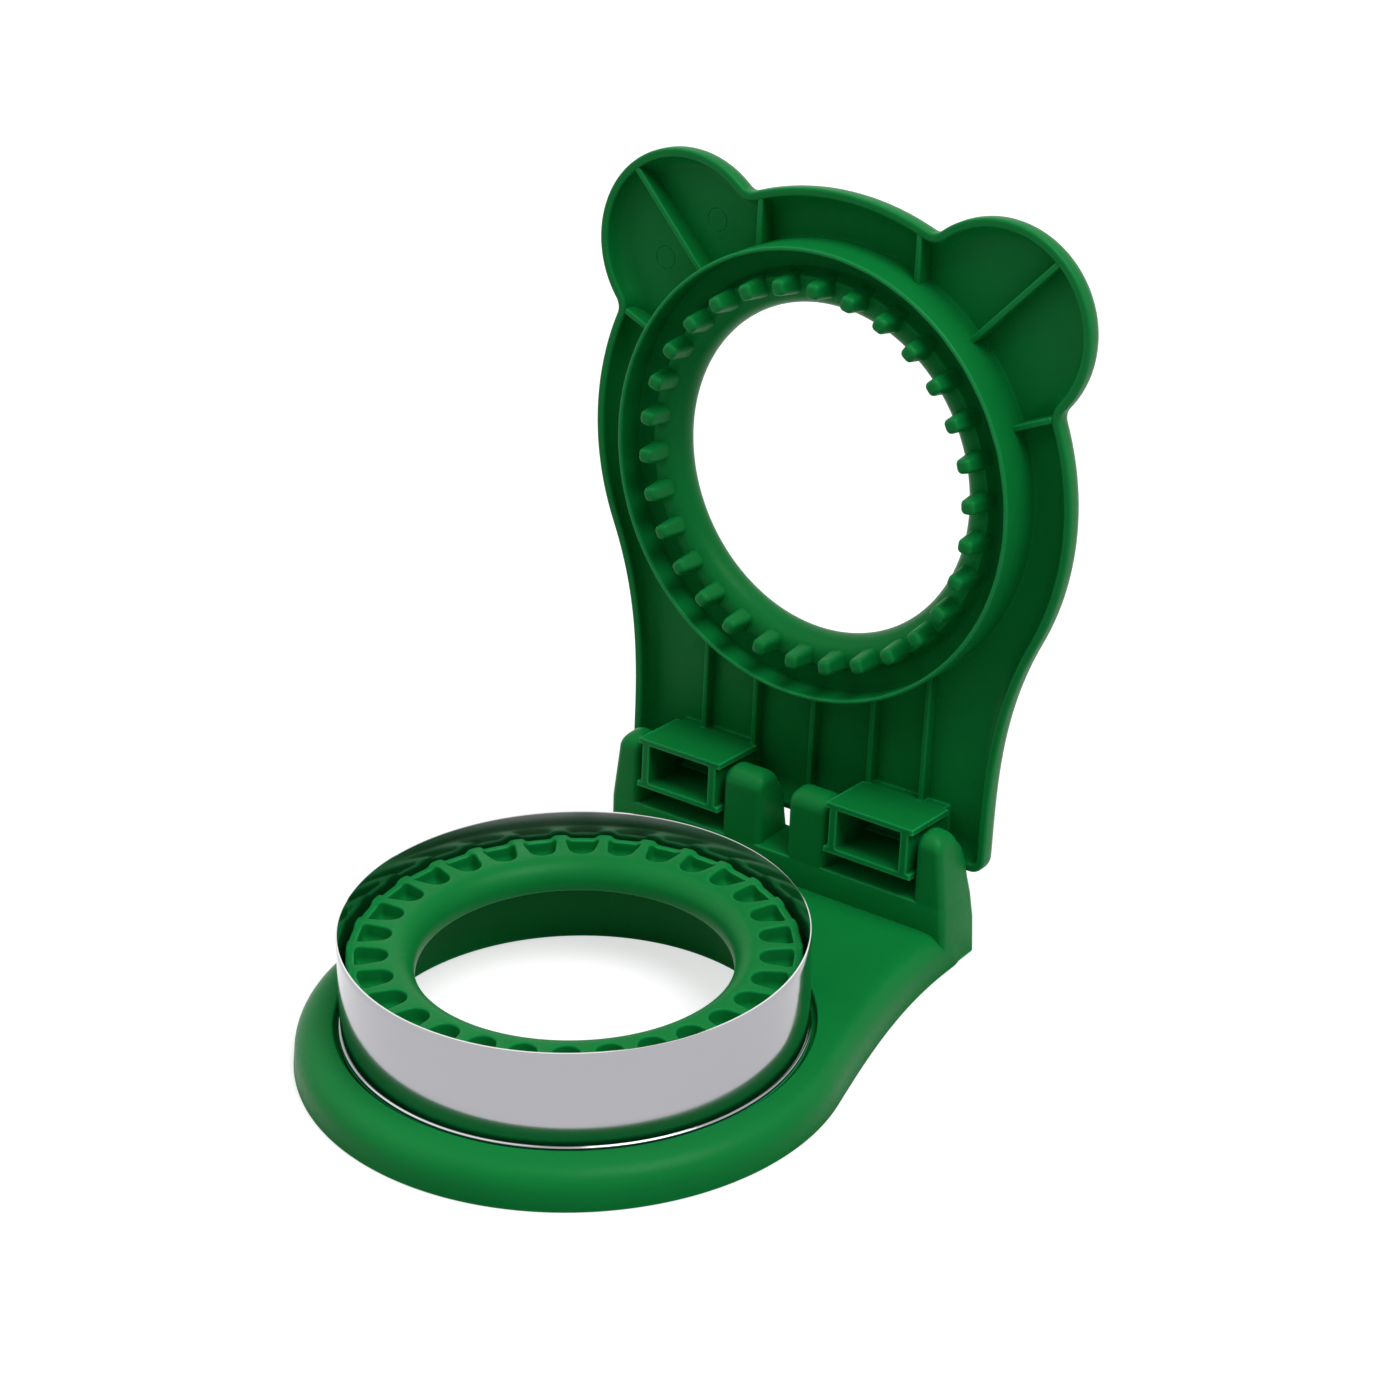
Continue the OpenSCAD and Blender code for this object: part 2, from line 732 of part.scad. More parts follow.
// Hollow box that hangs between two lugs, with a stud on each side
module hinge_box() {
    x0 = slot_in + box_gap;
    x1 = slot_out - box_gap;
    wall_w = back_w - lid_edge_r;
    far_y = lid_end - lid_rim_w + join;
    end_y = lid_end - step;
    difference() {
        union() {
            block([x0 + box_lip, box_y, -box_out], [x1 - box_lip, end_y, wall_w]);
            block([x0, box_y, -box_out], [x1, box_y + box_plate, floor_w + join]);
            block([x0, lid_end - box_plate, -box_out], [x1, end_y, wall_w]);
            block([x0 + box_lip, box_y, wall_w - join], [x1 - box_lip, far_y, floor_w + join]);
            translate([slot_in - stud_in, hinge_y, hinge_z - lid_z])
                rotate([0, 90, 0])
                cylinder(r = stud_r, h = slot_out - slot_in + 2 * stud_in);
        }
        block(
            [x0 + box_lip + box_side, box_y + box_plate, -box_out - past],
            [x1 - box_lip - box_side, lid_end - box_plate, wall_w]
        );
        block(
            [x0 + box_lip + box_side, box_y + box_plate, wall_w - join],
            [x1 - box_lip - box_side, lid_end - lid_rim_w, floor_w]
        );
    }
}

module lid() {
    color(green) in_row() lid_open() {
        difference() {
            lid_shell();
            cylinder(r = ring_r - join, h = back_w + past);
        }
        difference() {
            union() {
                rotate_extrude() ring_section();
                teeth();
            }
            cylinder(r = throat_r, h = back_w + past);
        }
        lid_ribs();
        both_sides() hinge_box();
    }
}

base_body();
press_ring();
cutter_ring();
lid();
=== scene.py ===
"""Sandwich cutter and sealer: the looks of its base, press ring, steel cutter and lid."""
import json
import math

import bmesh
import bpy
from mathutils import Matrix, Vector


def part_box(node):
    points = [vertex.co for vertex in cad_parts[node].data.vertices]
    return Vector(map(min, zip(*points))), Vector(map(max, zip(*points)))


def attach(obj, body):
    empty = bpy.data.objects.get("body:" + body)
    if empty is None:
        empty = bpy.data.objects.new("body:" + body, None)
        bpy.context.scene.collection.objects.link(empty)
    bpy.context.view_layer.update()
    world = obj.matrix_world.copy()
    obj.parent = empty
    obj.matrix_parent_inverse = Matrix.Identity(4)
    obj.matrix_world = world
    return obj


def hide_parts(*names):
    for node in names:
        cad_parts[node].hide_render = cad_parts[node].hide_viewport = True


bl_info = {
    "name": "Sandwich cutter and sealer",
    "version": (1, 0, 0),
    "blender": (4, 5, 0),
    "location": "3D View > Sidebar > Sandwich",
    "description": "Models a round sandwich cutter with a hinged, bear-eared lid",
    "category": "Add Mesh",
}

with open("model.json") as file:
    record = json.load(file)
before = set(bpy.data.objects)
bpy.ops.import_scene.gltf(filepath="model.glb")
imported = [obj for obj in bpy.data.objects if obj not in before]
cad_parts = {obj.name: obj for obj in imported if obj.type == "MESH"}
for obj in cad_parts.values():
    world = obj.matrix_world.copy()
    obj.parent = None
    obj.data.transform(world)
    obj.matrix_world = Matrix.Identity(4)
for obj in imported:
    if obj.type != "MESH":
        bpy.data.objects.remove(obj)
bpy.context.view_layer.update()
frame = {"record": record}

MM = 0.001
CUTTER_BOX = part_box("cutter_ring")
AXIS_Y = (CUTTER_BOX[0][1] + CUTTER_BOX[1][1]) / 2
HINGE = frame["record"]["behaviour"]["joints"][0]
HINGE_POS = Vector(HINGE["pos_m"])
HINGE_Y = HINGE_POS.y - AXIS_Y
HINGE_Z = HINGE_POS.z
OPEN_ANGLE = math.radians(HINGE["range_deg"][1])
MERGE_REACH = MM / 1000
SMOOTH_BELOW = math.radians(32)
# steps round the small round pieces
PIN_STEPS = 40
# how far pieces that are joined run into each other
JOIN = 0.4 * MM


def length(description, size):
    """A size in metres, given in millimetres."""
    return bpy.props.FloatProperty(
        name=description, default=size * MM, min=0, precision=5, unit="LENGTH"
    )


def angle(description, degrees):
    """An angle in radians, given in degrees."""
    return bpy.props.FloatProperty(
        name=description, default=math.radians(degrees), subtype="ANGLE"
    )


def portion(description, part):
    """A part of something else, from 0 to 1."""
    return bpy.props.FloatProperty(name=description, default=part, min=0, max=1)


def colour(description, value):
    return bpy.props.FloatVectorProperty(
        name=description, default=value, size=3, min=0, max=1, subtype="COLOR"
    )


class PlateSizes(bpy.types.PropertyGroup):
    """Sizes of the base moulding."""
    height: length("Height of the plate", 8.2)
    radius: length("Radius of the round front", 53.8)
    shift: length("How far the round front's centre lies ahead of the cutter's", 0.6)
    edge: length("Radius of the rounded top edge", 5)
    foot_edge: length("Radius of the edge that stands on the table", 0.4)
    draft: length("How far the side wall leans in", 0.3)
    tail: length("Half width of the tail at the hinge", 42.5)
    tail_start: length("Distance from the axis to where the tail runs straight", 66)
    turn: angle("Where the round front goes over into the bend", 15.4)
    ease: portion("Length of the bend's handles, as a share of the bend", 0.33)
    end: length("Distance from the axis to the back of the plate", 74.7)
    opening: length("Radius of the opening round the steel", 46.35)
    opening_edge: length("Radius of the opening's top edge", 0.5)
    seat: length("Radius of the seat for the ring's flange", 50.35)
    skin: length("Thickness of the moulded walls", 2.4)
    rim: length("Width of the rim under the tail", 3)


class HingeSizes(bpy.types.PropertyGroup):
    """Sizes of the block and the lugs of the hinge."""
    front: length("Distance from the axis to the front of the block", 64.94)
    back: length("Distance from the axis to the back of the block", 77.2)
    block_top: length("Height of the slots' floor", 14.4)
    block_edge: length("Radius of the block's top edges", 0.4)
    back_low: length("Height up to which the block's back is upright", 8.2)
    stop_low: length("Height of the foot of the lid's stop", 18.25)
    stop_y: length("Distance from the axis to the foot of the stop", 75.57)
    stop_high: length("Height of the top of the lid's stop", 20.04)
    stop_top_y: length("Distance from the axis to the top of the stop", 75.7)
    lug_top: length("Height of the lugs", 29.5)
    lug_round: length("Radius of the lugs' tops, from the side", 3.7)
    shoulder: length("Radius of the outer shoulders", 4)
    corner: length("Radius of the lugs' other corners", 2.6)
    upright: length("Radius of the lugs' upright edges", 1.5)
    lean: length("How far the lugs lean back", 0.6)
    slot_in: length("Inner side of each slot", 12.9)
    slot_out: length("Outer side of each slot", 34.3)
    gap: length("Half width of the gap in the middle", 3.46)
    stud: length("Radius of the hinge studs", 2)
    stud_in: length("How deep the studs reach into the lugs", 2.4)
    play: length("Play of the studs in their sockets", 0.08)


class PressSizes(bpy.types.PropertyGroup):
    """Sizes of the notched press ring."""
    top: length("Height of the top of the ring", 23.3)
    radius: length("Outer radius", 43.35)
    edge: length("Radius of the outer top edge", 0.6)
    crest: length("Radius at which the round inner part starts", 35)
    bulge: length("Radius of the round inner part, down to the hole", 4.6)
    lip: length("Height of the upright lip under the round part", 1.2)
    skin: length("Thickness of the ring's walls", 1.8)
    foot: length("Height of the bottom of the ring", 0.5)
    pit_floor: length("Height of the floor of the notches", 19.6)
    pit_in: length("Inner radius of the notches", 35.3)
    pit_out: length("Outer radius of the notches", 41.7)
    pit_wide: length("Width of a notch at its outer end", 6.6)
    pit_narrow: length("Width of a notch at its round inner end", 5.2)
    pit_edge: length("Radius of the notches' top edges", 0.5)
    pit_bowl: length("Radius between the walls and floor of a notch", 1.4)
    dip: length("How far the wall outside each notch is lowered", 0.8)
    pit_lean: length("How far the notches' walls lean in", 0.15)
    seat_play: length("Play of the flange in its seat", 0.12)


class CutterSizes(bpy.types.PropertyGroup):
    """Sizes of the steel ring."""
    radius: length("Outer radius of the steel", 45)
    wall: length("Thickness of the steel", 0.4)
    top: length("Height of the cutting edge", 27.7)
    foot: length("Height of the foot", 7.2)
    hem: length("Height of the rolled hem at the foot", 0.8)
    hem_out: length("How far the hem stands out", 0.4)
    lap: length("Step in the surface where the steel laps over itself", 0.1)
    lap_turn: angle("Where the steel laps, turned from the right-hand side", 204.3)
    lap_fade: angle("How far round the step of the lap fades", 9)


class LidSizes(bpy.types.PropertyGroup):
    """Sizes of the lid, with depths counted from its ring's edge."""
    seat: length("Height of the ring's edge when shut", 21.7)
    back: length("Depth to the back face", 12.29)
    skin: length("Thickness of the lid", 2)
    rim_depth: length("Depth to the rim round the lid", 6.3)
    rim: length("Thickness of that rim", 1.8)
    rim_edge: length("Radius of the rim's edges", 0.5)
    edge: length("Radius of the rounded back edge", 4.2)
    fillet: length("Radius where wall and floor meet inside", 3.2)
    radius: length("Radius of the round body", 56.6)
    ear_x: length("Sideways distance to an ear's centre", 36.4)
    ear_y: length("Forward distance to an ear's centre", 37.5)
    ear_radius: length("Radius of an ear", 20.79)
    nick: length("Radius of the nicks beside the ears", 3)
    tail: length("Half width at the hinge", 44)
    end: length("Distance from the ring's centre to the end", 75)
    turn: angle("Where the round body goes over into the bend", 24.5)
    ease: portion("Length of the bend's handles, as a share of the bend", 0.36)
    bend_end: portion("Where the bend ends, as a share of the distance to the end", 0.88)
    corner: length("Radius of the corners at the hinge end", 3.2)
    ring: length("Outer radius of the lid's ring", 46.3)
    ring_wall: length("Thickness of the ring's edge", 0.9)
    channel: length("Depth of the channel for the steel", 6.3)
    channel_in: length("Inner radius of the channel", 41)
    crest: length("Depth of the crest that carries the teeth", 3.7)
    throat: length("Radius of the hole in the lid", 33.9)
    small_edge: length("Radius of the small edges round the channel", 0.4)


class ToothSizes(bpy.types.PropertyGroup):
    """Sizes of the teeth, ribs and hinge boxes on the lid."""
    count: bpy.props.IntProperty(name="Number of teeth and of notches", default=30, min=12)
    out: length("How far the tips stand past the ring's edge", 1.66)
    circle: length("Radius of the circle of teeth", 38.4)
    wide: length("Width of a tip along the circle", 3)
    long: length("Length of a tip across the circle", 3.2)
    draft: length("How much wider the root is on each side", 0.75)
    edge: length("Radius of the tips' edges", 1)
    rib: length("Thickness of the ribs", 1.2)
    low_rib: length("Depth from the ring's edge to the low ribs", 8)
    rib_x: length("Spacing of the inner low ribs", 14.4)
    rib_x2: length("Spacing of the outer low ribs", 27.1)
    nick_rib: length("Spacing of the ribs beside the ears", 18.4)
    ear_rib: angle("Direction of the ribs in the ears, turned from the side", 47)
    side_rib: angle("Direction of the ribs below the ears, turned from the side", 24)
    box_out: length("How far the hinge boxes stand past the ring's edge", 5.2)
    box_near: length("Distance from the ring's centre to the boxes", 64)
    box_plate: length("Thickness of the plates beside the opening", 1.1)
    box_lip: length("How far those plates overhang", 1)
    box_side: length("Thickness of the boxes' side walls", 1.7)
    box_gap: length("Gap between a box and its slot", 0.35)
    box_edge: length("Radius of the boxes' edges", 0.28)
    mark: length("Radius of the round moulding marks in an ear", 2.5)
    mark_groove: length("Width and depth of the marks' grooves", 0.12)


class Finish(bpy.types.PropertyGroup):
    """Colours, light and camera."""
    plastic: colour("Green of the moulded plastic", (0.004, 0.21, 0.04))
    shade: colour("Darker green in thick places", (0.002, 0.16, 0.03))
    steel: colour("Polished steel", (0.39, 0.385, 0.41))
    ground: colour("Freshly ground steel", (0.9, 0.9, 0.88))
    # painted highlight: a lighter green put on thin, rounded edges in place of the light they catch
    # and let through
    bright: colour("Lighter green of thin edges", (0.02, 0.48, 0.14))
    floor: colour("Pale floor", (0.52, 0.52, 0.52))
    glow: portion("How brightly the floor shines where the camera sees it", 0.67)
    dome: portion("Strength of the white dome's light on the object", 0.17)
    # reach of the painted edge highlight
    thin: length("Thickness under which the plastic looks lighter", 0.6)
    # reach of the painted shade that takes the sheen out of recesses
    recess: length("Distance to what takes the sheen off a recess", 14)
    lens: bpy.props.FloatProperty(
        name="Focal length of the camera", default=84.68, unit="CAMERA"
    )
    azimuth: angle("How far round to the right the camera stands", 36.232)
    elevation: angle("How far the camera looks down", 26.649)
    roll: angle("How far the camera leans to the left", 0.132)
    place: bpy.props.FloatVectorProperty(
        name="Place of the camera from the cutter's axis at the table",
        default=(0.33694, -0.41971, 0.34507),
        subtype="TRANSLATION",
        unit="LENGTH",
    )


# Outlines: each point has the direction that faces out of the outline

def direction(turn):
    """The direction at an angle in radians."""
    return Vector((math.cos(turn), math.sin(turn)))


def arc(centre, radius, start, end, count, side=1):
    """Points on an arc between two angles in radians."""
    run = []
    for i in range(count + 1):
        out = direction(start + (end - start) * i / count)
        run.append((Vector(centre) + radius * out, side * out))
    return run


def straight(start, end, count):
    """Points inside a straight stretch whose outside is on the right."""
    start = Vector(start)
    along = Vector(end) - start
    out = Vector((along.y, -along.x)).normalized()
    return [(start + along * i / count, out) for i in range(1, count)]


def bend(p0, p1, p2, p3, count):
    """Points inside an S-bend with its two handles."""
    run = []
    for i in range(1, count):
        t = i / count
        s = 1 - t
        point = s ** 3 * p0 + 3 * s * s * t * p1 + 3 * s * t * t * p2 + t ** 3 * p3
        along = s * s * (p1 - p0) + 2 * s * t * (p2 - p1) + t * t * (p3 - p2)
        run.append((point, Vector((along.y, -along.x)).normalized()))
    return run


def square_corner(end, radius, count):
    """A back corner, which stays whole when the outline shrinks past its radius."""
    centre = Vector(end) - Vector((radius, radius))
    return [(p, out, radius * 0.95) for p, out in arc(centre, radius, 0, math.pi / 2, count)]


def shrunk(point, inset):
    """An outline point moved inwards."""
    over = 0
    if len(point) > 2:
        over = max(inset - point[2], 0)
    place = point[0] - (inset - over) * point[1]
    if over:
        place = place - over * Vector((math.copysign(1, point[0].x), 1))
    return place


def flipped(point):
    """The mirror image of an outline point on the left side."""
    place, out = point[0], point[1]
    return (Vector((-place.x, place.y)), Vector((-out.x, out.y))) + tuple(point[2:])


def heading(start, end):
    away = Vector(end) - Vector(start)
    return math.atan2(away.y, away.x)


def with_tail(half, sizes, corner, side, side_count, corner_count):
    """Ends a right half with an S-bend, a straight side and a square end, and mirrors it.

    side holds the distances from the axis at which the straight side starts and ends.
    """
    start = half[-1][0]
    end = Vector((sizes.tail, side[0]))
    reach = sizes.ease * (end - start).length
    ahead = Vector((-math.sin(sizes.turn), math.cos(sizes.turn)))
    half += bend(start, start + reach * ahead, end - Vector((0, reach)), end, 26)
    half.append((end, Vector((1, 0))))
    half += straight(end, (sizes.tail, side[1]), side_count)
    half += square_corner((sizes.tail, sizes.end), corner, corner_count)
    half += straight((sizes.tail - corner, sizes.end), (0, sizes.end), 20)
    half.append((Vector((0, sizes.end)), Vector((0, 1))))
    return half + [flipped(point) for point in reversed(half[1:-1])]


def plate_outline(sizes):
    """Outline of the plate: a round front, two S-bends and a straight tail."""
    corner = sizes.edge + 2 * sizes.draft
    half = arc((0, -sizes.shift), sizes.radius, -math.pi / 2, sizes.turn, 84)
    return with_tail(half, sizes, corner, (sizes.tail_start, sizes.end - corner), 4, 6)


def lid_outline(sizes):
    """Outline of the shut lid: a round body, two ears with nicks and a tail."""
    ear = Vector((sizes.ear_x, -sizes.ear_y))
    ear_far = ear.length
    ear_turn = heading((0, 0), ear)
    nick_far = sizes.radius + sizes.nick
    nick_near = sizes.ear_radius + sizes.nick
    spread = math.acos((nick_far ** 2 + ear_far ** 2 - nick_near ** 2) / (2 * nick_far * ear_far))
    front_turn = ear_turn - spread
    side_turn = ear_turn + spread
    front_nick = nick_far * direction(front_turn)
    side_nick = nick_far * direction(side_turn)
    half = arc((0, 0), sizes.radius, -math.pi / 2, front_turn, 20)
    half += arc(
        front_nick, sizes.nick, front_turn + math.pi, heading(front_nick, ear), 12, -1
    )[1:-1]
    half += arc(ear, sizes.ear_radius, heading(ear, front_nick), heading(ear, side_nick), 84)
    half += arc(
        side_nick, sizes.nick, heading(side_nick, ear) + 2 * math.pi, side_turn + math.pi, 12, -1
    )[1:-1]
    half += arc((0, 0), sizes.radius, side_turn, sizes.turn, 44)
    side = (sizes.end * sizes.bend_end, sizes.end - 2 * sizes.corner)
    return with_tail(half, sizes, sizes.corner, side, 3, 9)


def curve(centre, radius, start, end, count):
    """Pairs of numbers on part of a circle, with the angles in radians."""
    return [tuple(point) for point, out in arc(centre, radius, start, end, count)]


def quarter(centre, radius, start, end, count):
    """Pairs of inset and height on part of a circle, with the angles in degrees."""
    return curve(centre, radius, math.radians(start), math.radians(end), count)


def outline_ring(outline, inset, height):
    return [shrunk(point, inset).to_3d() + Vector((0, 0, height)) for point in outline]


def round_ring(outline, radius, height):
    """A circle about the axis with its points beside those of an outline."""
    ring = []
    for point in outline:
        beside = shrunk(point, 0).normalized() * radius
        ring.append(Vector((beside.x, beside.y, height)))
    return ring


def rounded_box(low, high, radius, height, count=6):
    """A level rectangle with round corners, between two opposite corners."""
    # the corners stay a little smaller than half of each side
    most = 0.48 * min(high[0] - low[0], high[1] - low[1])
    radius = max(min(radius, most), MM / 100)
    centres = (
        (high[0] - radius, low[1] + radius),
        (high[0] - radius, high[1] - radius),
        (low[0] + radius, high[1] - radius),
        (low[0] + radius, low[1] + radius),
    )
    ring = []
    for i, centre in enumerate(centres):
        start = (i - 1) * math.pi / 2
        for x, y in curve(centre, radius, start, start + math.pi / 2, count):
            ring.append(Vector((x, y, height)))
    return ring


# Making and joining meshes

def open_ring(name, ring):
    """A closed line of vertices in edit mode, each with its own number."""
    bpy.ops.object.select_all(action="DESELECT")
    bpy.ops.mesh.primitive_circle_add(vertices=len(ring), radius=MM)
    piece = bpy.context.object
    piece.name = name
    bpy.ops.object.mode_set(mode="EDIT")
    bpy.ops.mesh.select_mode(type="VERT")
    mesh = bmesh.from_edit_mesh(piece.data)
    order = mesh.verts.layers.int.new("order")
    mesh.verts.ensure_lookup_table()
    for i, vertex in enumerate(mesh.verts):
        vertex[order] = i
        vertex.co = ring[i]
        vertex.select = True
    mesh.select_flush(True)
    bmesh.update_edit_mesh(piece.data)
    return piece


def drawn_out(piece, ring):
    """Extrudes the selected ring of a piece and moves it to the next one."""
    bpy.ops.mesh.extrude_region_move()
    mesh = bmesh.from_edit_mesh(piece.data)
    order = mesh.verts.layers.int["order"]
    for vertex in mesh.verts:
        if vertex.select:
            vertex.co = ring[vertex[order]]
    bmesh.update_edit_mesh(piece.data)


def sealed(piece):
    """Merges what coincides, fills the open ends and turns the faces outwards."""
    bpy.ops.mesh.select_all(action="SELECT")
    bpy.ops.mesh.remove_doubles(threshold=MERGE_REACH)
    bpy.ops.mesh.dissolve_degenerate(threshold=MERGE_REACH)
    bpy.ops.mesh.select_all(action="SELECT")
    bpy.ops.mesh.fill_holes(sides=0)
    bpy.ops.mesh.select_all(action="SELECT")
    bpy.ops.mesh.delete_loose()
    bpy.ops.mesh.select_all(action="SELECT")
    bpy.ops.mesh.normals_make_consistent(inside=False)
    bpy.ops.object.mode_set(mode="OBJECT")
    return piece


def lofted(name, rings, looped=False):
    """A skin over a row of rings, closed at its ends or back to its first ring."""
    piece = open_ring(name, rings[0])
    for ring in rings[1:]:
        drawn_out(piece, ring)
    if looped:
        drawn_out(piece, rings[0])
    return sealed(piece)


def spun(name, section, steps):
    """A closed section, as radius and height, spun round the axis."""
    piece = open_ring(name, [Vector((radius, 0, height)) for radius, height in section])
    bpy.ops.mesh.spin(steps=steps, angle=2 * math.pi, center=(0, 0, 0), axis=(0, 0, 1))
    return sealed(piece)


def repeated(piece, count):
    """Copies all of a piece round the axis."""
    pick(piece)
    bpy.ops.object.mode_set(mode="EDIT")
    bpy.ops.mesh.select_all(action="SELECT")
    bpy.ops.mesh.spin(
        steps=count - 1,
        angle=2 * math.pi * (count - 1) / count,
        dupli=True,
        center=(0, 0, 0),
        axis=(0, 0, 1),
    )
    return sealed(piece)


def pick(*objects):
    """Selects these objects alone and makes the first one active."""
    bpy.ops.object.select_all(action="DESELECT")
    for item in objects:
        item.select_set(True)
    bpy.context.view_layer.objects.active = objects[0]


def joined(*objects):
    pick(*objects)
    bpy.ops.object.join()
    return objects[0]


def moved(piece, matrix):
    """Applies a move, turn or mirroring to a piece's mesh."""
    pick(piece)
    piece.matrix_world = matrix
    bpy.ops.object.transform_apply(location=True, rotation=True, scale=True)
    if matrix.determinant() < 0:
        bpy.ops.object.mode_set(mode="EDIT")
        bpy.ops.mesh.select_all(action="SELECT")
        bpy.ops.mesh.normals_make_consistent(inside=False)
        bpy.ops.object.mode_set(mode="OBJECT")
    return piece


def copied(piece, matrix):
    """A second piece with its own mesh, in another place."""
    pick(piece)
    bpy.ops.object.duplicate(linked=False)
    return moved(bpy.context.object, matrix)


def mirrored(piece):
    return copied(piece, Matrix.Scale(-1, 4, (1, 0, 0)))


def combined(piece, tool, operation):
    """Joins a tool to a piece, or cuts it away, and uses the tool up."""
    pick(piece)
    bpy.ops.object.modifier_add(type="BOOLEAN")
    change = piece.modifiers[-1]
    change.operation = operation
    change.solver = "EXACT"
    change.object = tool
    bpy.ops.object.modifier_apply(modifier=change.name)
    pick(tool)
    bpy.ops.object.delete()
    pick(piece)
    return piece


def softened(piece, width):
    """Rounds a piece's sharp edges a little."""
    pick(piece)
    bpy.ops.object.modifier_add(type="BEVEL")
    change = piece.modifiers[-1]
    change.width = width
    change.segments = 2
    change.limit_method = "ANGLE"
    change.angle_limit = math.radians(40)
    bpy.ops.object.modifier_apply(modifier=change.name)
    return piece


def finished(piece, body, node, material):
    """Puts a piece into the frame in place of a node, with its finish."""
    moved(piece, Matrix.Translation((0, AXIS_Y, 0)))
    pick(piece)
    bpy.ops.object.shade_smooth_by_angle(angle=SMOOTH_BELOW)
    order = piece.data.attributes.get("order")
    if order is not None:
        piece.data.attributes.remove(order)
    piece.data.materials.clear()
    piece.data.materials.append(material)
    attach(piece, body)
    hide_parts(node)
    return piece


# Materials

# where most of a noise's values lie, and how much finer the grain is than the waves
NOISE_RANGE = (0.3, 0.7)
GRAIN_FINENESS = 22


def fed(tree, node, inputs):
    """Sets a node's inputs to values, or links them to other nodes' outputs."""
    for name, value in inputs.items():
        if isinstance(value, bpy.types.NodeSocket):
            tree.links.new(value, node.inputs[name])
        else:
            node.inputs[name].default_value = value


def added(tree, kind, inputs, **settings):
    """A new node with its settings and inputs."""
    node = tree.nodes.new(kind)
    for name, value in settings.items():
        setattr(node, name, value)
    fed(tree, node, inputs)
    return node


def ranged(tree, value, from_range, to_range):
    """Leads a value from one range over into another."""
    return added(tree, "ShaderNodeMapRange", {
        "Value": value,
        "From Min": from_range[0],
        "From Max": from_range[1],
        "To Min": to_range[0],
        "To Max": to_range[1],
    }).outputs["Result"]


def blended(tree, factor, first, second):
    """A colour between two, where a factor goes from 0 to 1."""
    mix = added(tree, "ShaderNodeMix", {"Factor": factor, "A": first, "B": second}, data_type="RGBA")
    return mix.outputs["Result"]


def calculated(tree, operation, first, second):
    """The result of an operation on two values."""
    return added(tree, "ShaderNodeMath", {0: first, 1: second}, operation=operation).outputs[0]


def openness(tree, reach, **settings):
    """How open the surface is, from 0 to 1, to what lies within reach."""
    inputs = {"Distance": reach}
    return added(tree, "ShaderNodeAmbientOcclusion", inputs, samples=6, **settings).outputs["AO"]


def bump(tree, height):
    """The surface's normal, bent by a faint height."""
    inputs = {"Strength": 0.04, "Distance": 0.1 * MM, "Height": height}
    return added(tree, "ShaderNodeBump", inputs).outputs["Normal"]


def ray_is(tree, *kinds):
    """Gives 1 where the ray is of one of these kinds."""
    path = tree.nodes.new("ShaderNodeLightPath")
    answer = path.outputs[kinds[0]]
    for kind in kinds[1:]:
        answer = calculated(tree, "MAXIMUM", answer, path.outputs[kind])
    return answer


def unevenness_group():
    """Faint waviness of a moulded or polished surface: a mask and a finer grain."""
    name = "surface_unevenness"
    group = bpy.data.node_groups.get(name)
    if group:
        return group
    group = bpy.data.node_groups.new(name, "ShaderNodeTree")
    sockets = group.interface
    sockets.new_socket("Scale", in_out="INPUT", socket_type="NodeSocketFloat")
    sockets.new_socket("Vector", in_out="INPUT", socket_type="NodeSocketVector")
    for output in ("Mask", "Grain"):
        sockets.new_socket(output, in_out="OUTPUT", socket_type="NodeSocketFloat")
    start = group.nodes.new("NodeGroupInput")
    place, scale = start.outputs["Vector"], start.outputs["Scale"]
    waves = added(group, "ShaderNodeTexNoise", {
        "Vector": place, "Scale": scale, "Detail": 3, "Roughness": 0.45
    })
    finer = calculated(group, "MULTIPLY", scale, GRAIN_FINENESS)
    grain = added(group, "ShaderNodeTexNoise", {"Vector": place, "Scale": finer, "Detail": 2})
    added(group, "NodeGroupOutput", {"Mask": waves.outputs["Fac"], "Grain": grain.outputs["Fac"]})
    return group


def unevenness(tree, place, scale, stretch):
    """The mask and grain of the unevenness group, at a scale and stretched."""
    mapping = added(tree, "ShaderNodeMapping", {"Vector": place, "Scale": stretch})
    effect = tree.nodes.new("ShaderNodeGroup")
    effect.node_tree = unevenness_group()
    fed(tree, effect, {"Vector": mapping.outputs["Vector"], "Scale": scale})
    return effect.outputs["Mask"], effect.outputs["Grain"]


def new_material(name):
    """A material, its node tree and its shader."""
    material = bpy.data.materials.new(name)
    material.use_nodes = True
    tree = material.node_tree
    return material, tree, tree.nodes["Principled BSDF"]


